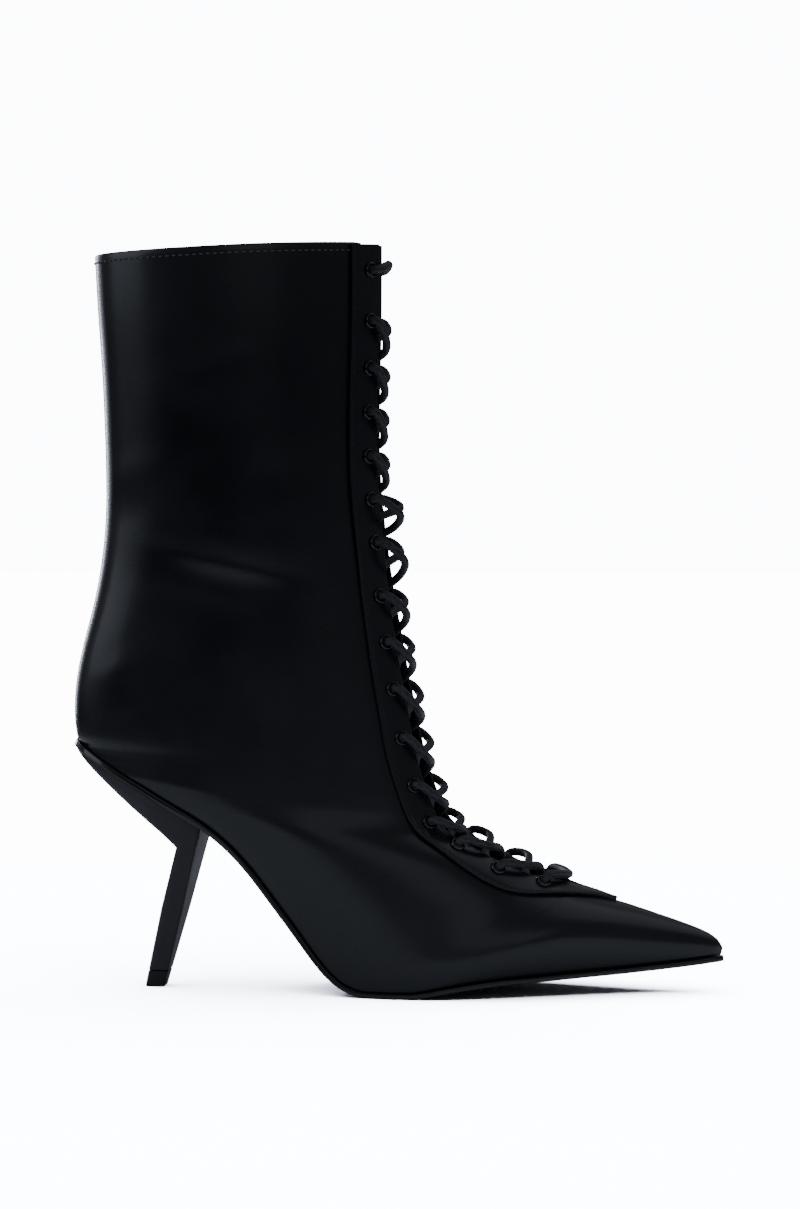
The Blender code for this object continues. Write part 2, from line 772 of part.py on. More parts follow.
def tip_corners(height):
    """Back and front of the slanted post at a height under its first section."""
    first = dict(zip(HEEL_COLUMNS, HEEL_SECTIONS[0]))
    share = height / (first["back_z"] * HEEL_HEIGHT)
    back = HEEL_TIP_BACK + (first["back_x"] - HEEL_TIP_BACK) * share
    tip_front = HEEL_TIP_BACK + HEEL_TIP_DEPTH / BOOT_LENGTH
    front = tip_front + (first["front_x"] - tip_front) * share
    width = HEEL_TIP_WIDTH + (HEEL_BREAST_WIDTH - HEEL_TIP_WIDTH) * first["width"] * share
    return (Vector((back * BOOT_LENGTH, 0.0, height)),
            Vector((front * BOOT_LENGTH, 0.0, height)), width / 2)


def make_heel():
    """The heel: a slanted post that opens into a wedge under the seat."""
    back, front, half = tip_corners(TOP_PIECE_HEIGHT + CLEARANCE)
    loops = [heel_loop(back, front, half, 0.0)]
    for row in HEEL_SECTIONS:
        value = dict(zip(HEEL_COLUMNS, row))
        back = Vector((value["back_x"] * BOOT_LENGTH, 0.0, value["back_z"] * HEEL_HEIGHT))
        front = Vector((value["front_x"] * BOOT_LENGTH, 0.0,
                        value["front_z"] * HEEL_HEIGHT))
        width = HEEL_TIP_WIDTH + (HEEL_BREAST_WIDTH - HEEL_TIP_WIDTH) * value["width"]
        loops.append(heel_loop(back, front, width / 2, value["seat"]))
    back = sole_point(HEEL_TOP_BACK, -CLEARANCE)
    front = sole_point(HEEL_TOP_FRONT, -CLEARANCE)
    top = heel_loop(back, front, HEEL_BREAST_WIDTH / 2, 1.0)
    for point in top:
        point.z = sole_point(point.x / BOOT_LENGTH, -CLEARANCE).z
    loops.append(top)
    return loft("heel", loops)


def make_top_piece():
    """The tip's wearing piece, flat on the floor."""
    loops = []
    for height in (0.0, TOP_PIECE_HEIGHT):
        back, front, half = tip_corners(height)
        loops.append(heel_loop(back, front, half, 0.0))
    return loft("top_piece", loops)


def make_waist_stud():
    """A low plain dome on the sole's waist."""
    down = -sole_normal(STUD_X)
    seat = sole_point(STUD_X, -2 * CLEARANCE)
    frame = Matrix.Translation(seat) @ down.to_track_quat("Z", "X").to_matrix().to_4x4()
    loops = []
    for radius, height in ((1.0, 0.0), (1.0, 0.4), (0.75, 0.85), (0.35, 1.0)):
        loops.append([frame @ Vector((STUD_RADIUS * radius * math.cos(a),
                                      STUD_RADIUS * radius * math.sin(a),
                                      STUD_HEIGHT * height))
                      for a in (2 * math.pi * i / 12 for i in range(12))])
    return loft("waist_stud", loops)


def forward(u):
    """The way that points straight out of the throat."""
    way = max(gap_way(u), 0.001)
    return (skin.normal(u, way) + skin.normal(u, -way)).normalized()


def throat_middle(u, offset):
    """A point between the band's two front edges, moved out by offset."""
    edges = skin.point(u, gap_way(u)) + skin.point(u, -gap_way(u))
    return edges / 2 + forward(u) * offset


def crossing(start, end, slack):
    """The strand from outside one eyelet to inside the next one across."""
    side = start.side
    span = end.u - start.u
    outer = side < 0
    radius = LACE_DIAMETER / 2
    top = BAND_SEAT + BAND_THICKNESS
    lift = slack * LACE_DIAMETER
    edge_u = start.u + 0.22 * span
    edge_way = side * (gap_way(edge_u) - 0.9 * radius)
    over = skin.point(edge_u, edge_way) + skin.normal(edge_u, edge_way) * (
        top + 0.9 * radius + lift)
    middle_u = start.u + (0.58 if outer else 0.42) * span
    middle = throat_middle(middle_u, (1.9 if outer else -0.5) * radius)
    under_u = start.u + 0.80 * span
    under_way = -side * (gap_way(under_u) + radius)
    under = skin.point(under_u, under_way) - skin.normal(under_u, under_way) * (
        1.4 * radius)
    return [over, middle, under]


def lace_route(rows):
    """The lace's own points, a closed round from the top bar to the bottom bar."""
    radius = LACE_DIAMETER / 2
    outside = BAND_SEAT + BAND_THICKNESS + EYELET_RIM + 2 * CLEARANCE + radius
    inside = -1.5 * radius

    def out_of(eyelet):
        return [eyelet.at(inside), eyelet.at(BAND_SEAT), eyelet.at(outside)]

    def strand(first_side):
        """From inside the second row down to outside the last row."""
        points = []
        side = first_side
        for i in range(1, EYELET_ROWS):
            here = rows[i][side]
            points += out_of(here)
            if i < EYELET_ROWS - 1:
                slack = SLACK[min(i, len(SLACK) - 1)][0 if side < 0 else 1]
                points += crossing(here, rows[i + 1][-side], slack)
            side = -side
        return points

    top = rows[0]
    bottom = rows[-1]
    lift_top = throat_middle(top[1].u - 0.10, 3.0 * radius)
    first = strand(-1)
    second = strand(1)
    bar = throat_middle(bottom[1].u + 0.60, BAND_SEAT + BAND_THICKNESS + 1.6 * radius)
    points = out_of(top[-1]) + [lift_top] + list(reversed(out_of(top[1])))
    middle_u = (top[1].u + rows[1][1].u) / 2
    points.append(throat_middle(middle_u, -1.0 * radius))
    points += first
    points.append(bar)
    points += reversed(second)
    points.append(throat_middle(middle_u, -3.6 * radius))
    return points


def smooth_route(points, steps):
    """A closed smooth curve through the points."""
    count = len(points)
    result = []
    for i in range(count):
        a, b, c, d = (points[(i + k - 1) % count] for k in range(4))
        parts = steps if (c - b).length > 2 * LACE_DIAMETER else 1
        for k in range(parts):
            t = k / parts
            result.append(0.5 * (2 * b + (c - a) * t + (2 * a - 5 * b + 4 * c - d) * t * t
                                 + (3 * b - a - 3 * c + d) * t * t * t))
    return result


def make_lace(rows):
    """One round cord through all the eyelets."""
    route = smooth_route(lace_route(rows), 2)
    curve = bpy.data.curves.new("lace", "CURVE")
    curve.dimensions = "3D"
    curve.bevel_depth = LACE_DIAMETER / 2
    curve.bevel_resolution = 1
    spline = curve.splines.new("POLY")
    spline.points.add(len(route) - 1)
    for target, point in zip(spline.points, route):
        target.co = (*point, 1.0)
    spline.use_cyclic_u = True
    piece = bpy.data.objects.new("lace", curve)
    bpy.context.collection.objects.link(piece)
    return piece


def centre_on_floor(pieces):
    """Hang the pieces on an empty that puts the boot's box over the origin."""
    bpy.context.view_layer.update()
    graph = bpy.context.evaluated_depsgraph_get()
    corners = []
    for piece in pieces:
        seen = piece.evaluated_get(graph)
        mesh = seen.to_mesh()
        corners += [seen.matrix_world @ v.co for v in mesh.vertices]
        seen.to_mesh_clear()
    low = Vector(min(c[i] for c in corners) for i in range(3))
    high = Vector(max(c[i] for c in corners) for i in range(3))
    base = bpy.data.objects.new("boot", None)
    bpy.context.collection.objects.link(base)
    base.location = Vector((-(low.x + high.x) / 2, -(low.y + high.y) / 2, -low.z))
    for piece in pieces + [bpy.data.objects["eyelet_holes"]]:
        piece.parent = base


def main():
    for old in list(bpy.data.objects):
        bpy.data.objects.remove(old, do_unlink=True)
    rows = [{side: Eyelet(u, side) for side in (-1, 1)} for u in eyelet_path()]
    eyelets = [row[side] for row in rows for side in (-1, 1)]
    leather = (0.012, 0.013, 0.015)
    finishes = {
        "upper": (leather, 0.35, 0.0),
        "eyestay": (leather, 0.38, 0.0),
        "tongue": ((0.010, 0.010, 0.011), 0.6, 0.0),
        "insole": ((0.05, 0.05, 0.05), 0.7, 0.0),
        "outsole": ((0.008, 0.008, 0.008), 0.25, 0.0),
        "heel": ((0.03, 0.029, 0.031), 0.5, 0.0),
        "top_piece": ((0.006, 0.006, 0.006), 0.5, 0.0),
        "waist_stud": ((0.6, 0.6, 0.6), 0.25, 1.0),
        "lace": ((0.02, 0.02, 0.022), 0.6, 0.0),
        "eyelet": ((0.01, 0.01, 0.01), 0.15, 0.0),
    }
    band = make_eyestay(eyelets)
    pieces = [make_upper(), band, make_tongue(), make_insole(), make_outsole(),
              make_heel(), make_top_piece(), make_waist_stud(), make_lace(rows)]
    for number, row in enumerate(rows, 1):
        for side, word in ((-1, "outer"), (1, "inner")):
            pieces.append(make_eyelet(f"eyelet_{word}_{number:02d}", row[side]))
    for piece in pieces:
        finish = finishes[piece.name.split("_outer")[0].split("_inner")[0]]
        piece.data.materials.append(material(piece.name, *finish))
    centre_on_floor(pieces)


main()
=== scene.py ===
"""Dresses the pointed lace-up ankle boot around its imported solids.

+X runs to the toe, +Z is up and -Y is the outer side. Lengths are in metres.
"""

from __future__ import annotations

import logging
import math
from dataclasses import dataclass, field
from enum import Enum
from typing import Callable, Iterable, Sequence

import bmesh
import bpy
import numpy as np
from mathutils import Matrix, Vector


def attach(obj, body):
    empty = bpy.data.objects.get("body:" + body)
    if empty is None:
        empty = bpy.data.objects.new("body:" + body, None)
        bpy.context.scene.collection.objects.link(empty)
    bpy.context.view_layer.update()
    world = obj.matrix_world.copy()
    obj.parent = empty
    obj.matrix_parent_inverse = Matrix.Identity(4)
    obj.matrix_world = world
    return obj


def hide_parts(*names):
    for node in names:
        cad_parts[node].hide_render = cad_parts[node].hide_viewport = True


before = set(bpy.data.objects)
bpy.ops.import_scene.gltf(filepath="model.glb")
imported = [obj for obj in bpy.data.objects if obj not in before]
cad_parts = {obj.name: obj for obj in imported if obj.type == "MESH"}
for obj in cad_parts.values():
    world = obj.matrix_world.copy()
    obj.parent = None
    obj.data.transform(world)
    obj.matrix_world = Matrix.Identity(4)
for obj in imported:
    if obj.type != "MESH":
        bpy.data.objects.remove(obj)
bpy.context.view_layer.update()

LOG = logging.getLogger("boot")
COLLAR_THREAD_RADIUS = 0.00030
THREAD_SINK = 0.0002
BODY = "root"
MM = 0.001

# The last's own zero stands this far from the middle of the boot's box.
SHIFT = np.array((-0.00006, -0.0014, 0.0))

# The sole's underside: x as a share of the length, its part of the heel's height and
# its part of the toe's spring.
PROFILE = (
    (-0.510, 1.022, 0.00), (-0.498, 1.007, 0.00), (-0.446, 0.928, 0.00),
    (-0.390, 0.841, 0.00), (-0.339, 0.758, 0.00), (-0.302, 0.698, 0.00),
    (-0.263, 0.618, 0.00), (-0.223, 0.505, 0.00), (-0.183, 0.366, 0.00),
    (-0.151, 0.253, 0.00), (-0.124, 0.158, 0.00), (-0.100, 0.084, 0.00),
    (-0.072, 0.028, 0.00), (-0.036, 0.000, 0.00), (0.030, 0.000, 0.00),
    (0.060, 0.000, 0.08), (0.096, 0.000, 0.22), (0.155, 0.000, 0.40),
    (0.247, 0.000, 0.54), (0.335, 0.000, 0.66), (0.394, 0.000, 0.76),
    (0.458, 0.000, 0.89), (0.500, 0.000, 1.00), (0.510, 0.000, 1.02),
)

# The feather edge, where upper and sole meet: x as a share of the length, then the
# reach to the outer and to the inner side as shares of the ball's width.
FEATHER = (
    (-0.4980, 0.000, 0.000), (-0.4955, 0.066, 0.066), (-0.4885, 0.124, 0.122),
    (-0.4730, 0.199, 0.196), (-0.4420, 0.269, 0.263), (-0.3940, 0.323, 0.310),
    (-0.3390, 0.333, 0.314), (-0.2790, 0.314, 0.276), (-0.2190, 0.288, 0.231),
    (-0.1590, 0.295, 0.224), (-0.1000, 0.333, 0.263), (-0.0400, 0.378, 0.340),
    (0.0200, 0.410, 0.410), (0.0720, 0.417, 0.455), (0.1200, 0.397, 0.462),
    (0.1790, 0.340, 0.417), (0.2390, 0.263, 0.346), (0.2990, 0.186, 0.276),
    (0.3590, 0.115, 0.212), (0.4100, 0.060, 0.158), (0.4500, 0.018, 0.118),
    (0.4780, -0.010, 0.090), (0.4920, -0.026, 0.076), (0.4985, -0.051, 0.051),
)

# Slanted sections of the upper, from the collar over the heel to the toe.
SECTION_COLUMNS = ("front_x", "front_lift", "front_rise", "back_x", "back_rise",
                   "shaft", "outer", "inner", "ridge", "front_power", "back_power",
                   "gap", "band", "tongue")
SECTIONS = (
    (-0.019, 1.00, 1.000, -0.470, 0.960, 0.50, 0.000, 0.000, 0.000, 1.90, 0.82,
     0.167, 1.00, 1.00),
    (-0.019, 1.00, 0.884, -0.466, 0.853, 0.50, 0.000, 0.000, 0.000, 1.90, 0.82,
     0.167, 1.00, 1.00),
    (-0.021, 1.00, 0.749, -0.459, 0.737, 0.49, 0.000, 0.000, 0.000, 1.90, 0.82,
     0.167, 1.00, 1.00),
    (-0.024, 1.00, 0.615, -0.455, 0.603, 0.475, 0.000, 0.000, 0.000, 1.80, 0.82,
     0.174, 1.00, 1.00),
    (-0.020, 1.00, 0.496, -0.453, 0.484, 0.46, 0.000, 0.000, 0.000, 1.70, 0.82,
     0.185, 1.00, 0.98),
    (-0.010, 0.96, 0.417, -0.457, 0.388, 0.33, 0.110, 0.110, 0.000, 1.50, 0.78,
     0.230, 0.97, 0.96),
    (0.003, 0.90, 0.362, -0.471, 0.278, 0.20, 0.220, 0.220, 0.000, 1.30, 0.74,
     0.360, 0.90, 0.95),
    (0.019, 0.82, 0.322, -0.489, 0.195, 0.08, 0.325, 0.325, 0.000, 1.15, 0.70,
     0.460, 0.88, 0.95),
    (0.034, 0.72, 0.282, -0.501, 0.117, 0.00, 0.395, 0.395, 0.000, 1.05, 0.67,
     0.540, 0.87, 0.95),
    (0.051, 0.62, 0.249, -0.504, 0.056, 0.00, 0.395, 0.395, 0.000, 1.00, 0.65,
     0.600, 0.87, 1.00),
    (0.061, 0.54, 0.227, -0.498, 0.000, 0.00, 0.397, 0.397, 0.000, 0.97, 0.65,
     0.640, 0.87, 1.12),
    (0.071, 0.47, 0.208, -0.4885, 0.000, 0.00, 0.398, 0.398, 0.000, 0.95, 0.66,
     0.660, 0.87, 1.22),
    (0.0845, 0.40, 0.187, -0.460, 0.000, 0.00, 0.400, 0.400, 0.000, 0.94, 0.70,
     0.670, 0.88, 1.28),
    (0.102, 0.33, 0.159, -0.402, 0.000, 0.00, 0.405, 0.405, 0.000, 0.93, 0.78,
     0.680, 0.92, 1.30),
    (0.1255, 0.27, 0.149, -0.331, 0.000, 0.00, 0.415, 0.410, 0.000, 0.93, 0.85,
     0.700, 1.00, 1.32),
    (0.163, 0.20, 0.155, -0.243, 0.000, 0.00, 0.430, 0.420, 0.003, 0.93, 0.90,
     0.700, 1.10, 1.26),
    (0.205, 0.14, 0.151, -0.151, 0.000, 0.00, 0.445, 0.435, 0.008, 0.93, 0.95,
     0.600, 1.15, 1.00),
    (0.241, 0.09, 0.148, -0.060, 0.000, 0.00, 0.460, 0.455, 0.015, 0.92, 0.95,
     0.340, 1.15, 0.50),
    (0.275, 0.05, 0.146, 0.034, 0.000, 0.00, 0.470, 0.485, 0.020, 0.92, 0.95,
     0.000, 1.00, 0.30),
    (0.305, 0.02, 0.146, 0.120, 0.000, 0.00, 0.440, 0.505, 0.026, 0.95, 0.95,
     0.000, 0.45, 0.30),
    (0.3345, 0.00, 0.141, 0.199, 0.000, 0.00, 0.360, 0.440, 0.031, 1.00, 0.95,
     0.000, 0.00, 0.30),
    (0.3845, 0.00, 0.116, 0.291, 0.000, 0.00, 0.233, 0.326, 0.037, 1.00, 0.95,
     0.000, 0.00, 0.30),
    (0.428, 0.00, 0.0925, 0.3685, 0.000, 0.00, 0.136, 0.233, 0.043, 1.00, 0.95,
     0.000, 0.00, 0.30),
    (0.460, 0.00, 0.0734, 0.430, 0.000, 0.00, 0.066, 0.164, 0.047, 0.95, 0.95,
     0.000, 0.00, 0.30),
    (0.482, 0.00, 0.0568, 0.468, 0.000, 0.00, 0.021, 0.118, 0.050, 0.90, 0.95,
     0.000, 0.00, 0.30),
    (0.495, 0.00, 0.0400, 0.489, 0.000, 0.00, -0.013, 0.088, 0.051, 0.85, 0.95,
     0.000, 0.00, 0.30),
    (0.500, 0.00, 0.0260, 0.4985, 0.000, 0.00, -0.051, 0.051, 0.051, 0.85, 0.95,
     0.000, 0.00, 0.30),
)
FIRST_OPEN = 10
THROAT_END = 18

# The eyelets' stations along their line, from the top row to the last one.
EYELET_STATIONS = (0.0, 0.073, 0.141, 0.204, 0.268, 0.331, 0.394, 0.472, 0.539,
                   0.607, 0.678, 0.749, 0.807, 0.862, 0.928, 1.0)

# How far each row's strand stands off, in cord diameters, where it leaves an eyelet
# of the outer and of the inner side for the row below.
SLACK = (
    (0.0, 0.0), (0.1, 0.0), (0.0, 0.0), (0.0, 0.0), (0.1, 0.0), (1.9, 1.5),
    (1.8, 0.8), (1.0, 0.4), (0.7, 0.2), (0.5, 0.1), (0.5, 0.2), (0.5, 0.3),
    (0.4, 0.3), (0.4, 0.3), (0.3, 0.3),
)

# Sections of the heel from the tip up to the seat: back x and z, breast x and z, width
# and how far the sides follow the seat's outline.
HEEL_SECTIONS = (
    (-0.3640, 0.330, -0.3270, 0.330, 0.47, 0.00),
    (-0.3380, 0.590, -0.3030, 0.590, 0.84, 0.00),
    (-0.3600, 0.650, -0.3010, 0.612, 0.88, 0.20),
    (-0.4000, 0.755, -0.2980, 0.634, 0.92, 0.55),
    (-0.4500, 0.885, -0.2960, 0.654, 0.96, 0.85),
)


class Side(Enum):
    """The two sides of the boot, by the sign of their y."""

    OUTER = -1
    INNER = 1


def unit(vectors: np.ndarray) -> np.ndarray:
    """Scale vectors to length one.

    Args:
        vectors: Vectors along the last axis.

    Returns:
        The same directions with length one.
    """
    lengths = np.linalg.norm(vectors, axis=-1, keepdims=True)
    return vectors / np.maximum(lengths, 1e-12)


def smooth_column(places: np.ndarray, values: np.ndarray, at: np.ndarray) -> np.ndarray:
    """Interpolate without overshoot, by cubic pieces between the given values.

    Args:
        places: Rising places of the values.
        values: One value for each place.
        at: Places to read.

    Returns:
        The value at each place read.
    """
    steps = np.diff(places)
    slopes = np.diff(values) / steps
    tangents = np.empty(len(values))
    tangents[0] = slopes[0]
    tangents[-1] = slopes[-1]
    for i in range(1, len(values) - 1):
        before, after = slopes[i - 1], slopes[i]
        if before * after <= 0.0:
            tangents[i] = 0.0
            continue
        weight_before = 2 * steps[i] + steps[i - 1]
        weight_after = steps[i] + 2 * steps[i - 1]
        tangents[i] = (weight_before + weight_after) / (
            weight_before / before + weight_after / after)
    i = np.clip(np.searchsorted(places, at) - 1, 0, len(steps) - 1)
    t = (at - places[i]) / steps[i]
    rise = values[i + 1] - values[i]
    start = tangents[i] * steps[i]
    end = tangents[i + 1] * steps[i]
    return (values[i] + t * start + t * t * (3 * rise - 2 * start - end)
            + t * t * t * (start + end - 2 * rise))


class Table:
    """Rows of numbers with named columns, read at any place between the rows."""

    def __init__(self, columns: Sequence[str], rows: Sequence[Sequence[float]],
                 key: str = "", blur: float = 0.0) -> None:
        """Keep the rows densely sampled.

        Args:
            columns: Name of each column.
            rows: The table's rows.
            key: Column of rising places, or none to count the rows.
            blur: How far neighbouring places are mixed, to round the kinks.
        """
        data = np.array(rows, dtype=float)
        index = {name: i for i, name in enumerate(columns)}
        places = data[:, index[key]] if key else np.arange(len(rows), dtype=float)
        self.dense = np.linspace(places[0], places[-1], 2401)
        self.columns = {}
        for name, i in index.items():
            line = smooth_column(places, data[:, i], self.dense)
            self.columns[name] = self.blurred(line, blur) if blur else line

    def blurred(self, line: np.ndarray, blur: float) -> np.ndarray:
        """Mix a column with its neighbours, and hold its two ends.

        Args:
            line: The dense column.
            blur: The spread in places.

        Returns:
            The rounded column.
        """
        step = self.dense[1] - self.dense[0]
        reach = int(3 * blur / step)
        offsets = np.arange(-reach, reach + 1)
        weights = np.exp(-0.5 * (offsets * step / blur) ** 2)
        weights /= weights.sum()
        low = 2 * line[0] - line[1:reach + 1][::-1]
        high = 2 * line[-1] - line[-reach - 1:-1][::-1]
        return np.convolve(np.concatenate((low, line, high)), weights, "valid")

    def at(self, name: str, place: float | np.ndarray) -> np.ndarray:
        """Read a column at one or more places."""
        return np.interp(place, self.dense, self.columns[name])


@dataclass
class Cut:
    """One slanted cut through the upper on one side, from its front point down."""

    front: np.ndarray
    chord: np.ndarray
    ridge: float
    reach: float
    end: float
    side: int
    front_power: float
    back_power: float
    angles: np.ndarray = field(init=False)
    ways: np.ndarray = field(init=False)
    turns: np.ndarray = field(init=False)

    def __post_init__(self) -> None:
        """Measure the way round the cut and how it turns."""
        self.angles = np.linspace(0.0, self.end, 241)
        points = self.points(self.angles)
        legs = np.diff(points, axis=0)
        self.ways = np.concatenate(([0.0], np.cumsum(np.linalg.norm(legs, axis=1))))
        heads = unit(legs)
        turn = np.arccos(np.clip(np.sum(heads[1:] * heads[:-1], axis=1), -1, 1))
        self.turns = np.concatenate(([0.0], np.cumsum(np.concatenate(([0.0], turn)))))

    def points(self, angles: np.ndarray) -> np.ndarray:
        """Points of the surface at angles from the front point.

        Args:
            angles: 0 at the front point, the cut's end at the sole.

        Returns:
            One point for each angle.
        """
        along = (1 - np.cos(angles)) / (1 - math.cos(self.end))
        power = np.where(angles < math.pi / 2, self.front_power, self.back_power)
        out = self.reach * np.maximum(np.sin(angles), 0.0) ** power
        result = self.front + self.chord * along[:, None]
        result[:, 1] = self.ridge + self.side * out
        return result

    def at_ways(self, ways: np.ndarray) -> np.ndarray:
        """Points at distances round the cut from its front point."""
        return self.points(np.interp(ways, self.ways, self.angles))

    def spread(self, start: float, count: int, turn_weight: float) -> np.ndarray:
        """Ways from a start to the cut's end, closer where it bends.

        Args:
            start: The first way.
            count: Number of faces.
            turn_weight: Length that a radian of turn counts for.

        Returns:
            count + 1 ways.
        """
        measure = self.ways + turn_weight * self.turns
        first = np.interp(start, self.ways, measure)
        return np.interp(np.linspace(first, measure[-1], count + 1), measure, self.ways)


@dataclass
class Last:
    """The last and shaft that every piece of the boot follows."""

    length: float = 0.2510
    ball_width: float = 0.0780
    collar_width: float = 0.0730
    heel_height: float = 0.0935
    toe_spring: float = 0.0120
    shaft_rise: float = 0.1935
    wall: float = 0.0018
    clearance: float = 0.0003
    sole_thickness: float = 0.0022
    throat_width: float = 0.0270
    band_width: float = 0.0140
    tongue_depth: float = 0.0100
    eyelet_inset: float = 0.0050
    eyelet_flange: float = 0.0064
    eyelet_first: float = 0.44
    eyelet_last: float = 16.94
    # Rows from the last eyelets to where the throat's end starts to round.
    throat_round: float = 0.4
    # The part of the sole that lies flat on the floor, as shares of the length.
    flat: tuple[float, float] = (-0.034, 0.031)
    # How far the tables' kinks are rounded.
    profile_blur: float = 0.006
    section_blur: float = 0.45
    cuts: dict[tuple[float, int, bool], Cut] = field(default_factory=dict)

    def __post_init__(self) -> None:
        """Read the tables."""
        self.profile = Table(("x", "lift", "spring"), PROFILE, "x", self.profile_blur)
        self.feather = Table(("x", "outer", "inner"), FEATHER, "x")
        self.sections = Table(SECTION_COLUMNS, SECTIONS, "", self.section_blur)

    def under(self, share: float | np.ndarray) -> np.ndarray:
        """Height of the sole's underside at a share of the length.

        Args:
            share: Places along the boot, as shares of its length.

        Returns:
            Heights over the floor.
        """
        flat = (share > self.flat[0]) & (share < self.flat[1])
        height = (self.profile.at("lift", share) * self.heel_height
                  + self.profile.at("spring", share) * self.toe_spring)
        return np.where(flat, 0.0, np.maximum(height, 0.0))

    def sole_normal(self, share: float | np.ndarray) -> np.ndarray:
        """Upward normal of the sole at a share of the length.

        Args:
            share: Places along the boot, as shares of its length.

        Returns:
            Unit vectors.
        """
        step = 0.002
        rise = self.under(share + step) - self.under(share - step)
        rise = np.asarray(rise, dtype=float)
        run = np.full_like(rise, 2 * step * self.length)
        return unit(np.stack((-rise, np.zeros_like(rise), run), axis=-1))

    def sole_points(self, share: float | np.ndarray, level: float | np.ndarray,
                    y: float | np.ndarray = 0.0) -> np.ndarray:
        """Points at a level over the sole's underside.

        Args:
            share: Shares of the length.
            level: Heights along the sole's normal.
            y: Places across.

        Returns:
            One point for each share.
        """
        share = np.asarray(share, dtype=float)
        y = np.broadcast_to(np.asarray(y, dtype=float), share.shape)
        base = np.stack((share * self.length, y, self.under(share)), axis=-1)
        level = np.asarray(level, dtype=float)[..., None]
        return base + self.sole_normal(share) * level

    def feather_reach(self, share: float | np.ndarray, side: int) -> np.ndarray:
        """Reach of the feather edge to one side.

        Args:
            share: Places along the boot, as shares of its length.
            side: -1 for the outer side, 1 for the inner side.

        Returns:
            Distances from the boot's middle line.
        """
        name = "outer" if side < 0 else "inner"
        low, high = FEATHER[0][0], FEATHER[-1][0]
        return self.feather.at(name, np.clip(share, low, high)) * self.ball_width

    def outline(self, share: float | np.ndarray, side: int, grow: float) -> np.ndarray:
        """Reach of an outline that stands out from the feather edge.

        Args:
            share: Shares of the length.
            side: -1 for the outer side, 1 for the inner side.
            grow: How far it stands out.

        Returns:
            The reach at each share.
        """
        low = FEATHER[0][0] * self.length
        high = FEATHER[-1][0] * self.length
        middle = (low + high) / 2
        half = (high - low) / 2
        scaled = middle + (np.asarray(share) * self.length - middle) * half / (half + grow)
        return self.feather_reach(scaled / self.length, side) + grow

    def cut(self, u: float, side: int, deep: bool = False) -> Cut:
        """The cut at a place between the sections.

        Args:
            u: Place between the sections.
            side: -1 for the outer side, 1 for the inner side.
            deep: True for the tongue's own surface.

        Returns:
            The cut, kept for the next call.
        """
        key = (round(u, 5), side, deep)
        if key in self.cuts:
            return self.cuts[key]
        value = {name: float(self.sections.at(name, u)) for name in SECTION_COLUMNS}
        spring = float(self.profile.at("spring", max(value["front_x"], 0.0)))
        height = (value["front_lift"] * self.heel_height + spring * self.toe_spring
                  + value["front_rise"] * self.shaft_rise)
        front = np.array((value["front_x"] * self.length, 0.0, height))
        level = self.sole_thickness + self.clearance
        corner_share = SECTIONS[FIRST_OPEN][3]
        corner = self.sole_points(corner_share, level)
        run = (value["back_x"] - corner_share) * self.length
        over = corner + np.array((run, 0.0, value["back_rise"] * self.shaft_rise))
        low = self.sole_points(value["back_x"], level)
        open_share = min(max(u - FIRST_OPEN + 0.5, 0.0), 1.0)
        open_share = open_share * open_share * (3 - 2 * open_share)
        back = over * (1 - open_share) + low * open_share
        depth = 0.0
        if deep:
            depth = max(value["tongue"] * self.tongue_depth, self.wall + 1.5 * self.clearance)
        ridge = value["ridge"] * self.ball_width
        front = front + unit(back - front) * depth
        name = "outer" if side < 0 else "inner"
        half = value["shaft"] * self.collar_width + value[name] * self.ball_width
        reach = half - side * ridge - depth
        end = math.pi
        if u > FIRST_OPEN:
            edge = float(self.feather_reach(value["back_x"], side)) - side * ridge
            share = 0.9
            if reach > 0.0001:
                share = min(max(edge / reach, 0.02), 0.995)
            end = math.pi - math.asin(share ** (1 / value["back_power"]))
        made = Cut(front, back - front, ridge, max(reach, 0.0), end, side,
                   1.0 if deep else value["front_power"], value["back_power"])
        self.cuts[key] = made
        return made

    def gap(self, u: float) -> float:
        """Way from the ridge to the band's front edge."""
        return max(float(self.sections.at("gap", u)), 0.0) * self.throat_width

    def band(self, u: float) -> float:
        """Way from the ridge to the band's rear edge."""
        width = max(float(self.sections.at("band", u)), 0.0)
        return self.gap(u) + width * self.band_width

    def stretch(self, u: float) -> float:
        """How much longer the slanted way over the band is than its true width."""
        return max(float(self.sections.at("band", u)), 1.0)

    def eyelet_way(self, u: float) -> float:
        """Way from the ridge to the middle of the eyelets."""
        return self.gap(u) + self.eyelet_inset * self.stretch(u)

    def throat(self, u: float) -> float:
        """Way from the ridge to the upper's own edge, which the band covers.

        Args:
            u: Place between the sections.

        Returns:
            The way, which runs out to nothing at the throat's end.
        """
        hidden = self.eyelet_inset + self.eyelet_flange / 2 + 2 * self.clearance
        start = self.eyelet_last + self.throat_round
        if u <= start:
            return self.gap(u) + hidden * self.stretch(u)
        share = min((u - start) / (THROAT_END - start), 1.0)
        full = self.gap(start) + hidden * self.stretch(start)
        return full * math.sqrt(1 - share * share)

    def point(self, u: float, way: float) -> np.ndarray:
        """The face at a signed way from the ridge, negative to the outer side."""
        side = -1 if way < 0 else 1
        return self.cut(u, side).at_ways(np.array((abs(way),)))[0]

    def normal(self, u: float, way: float) -> np.ndarray:
        """Outward normal of the face at a signed way.

        Args:
            u: Place between the sections.
            way: Way from the ridge, negative to the outer side.

        Returns:
            A unit vector.
        """
        step_u, step_way = 0.04, 0.0006
        along = self.point(u + step_u, way) - self.point(u - step_u, way)
        around = self.point(u, way + step_way) - self.point(u, way - step_way)
        return unit(np.cross(along, around))


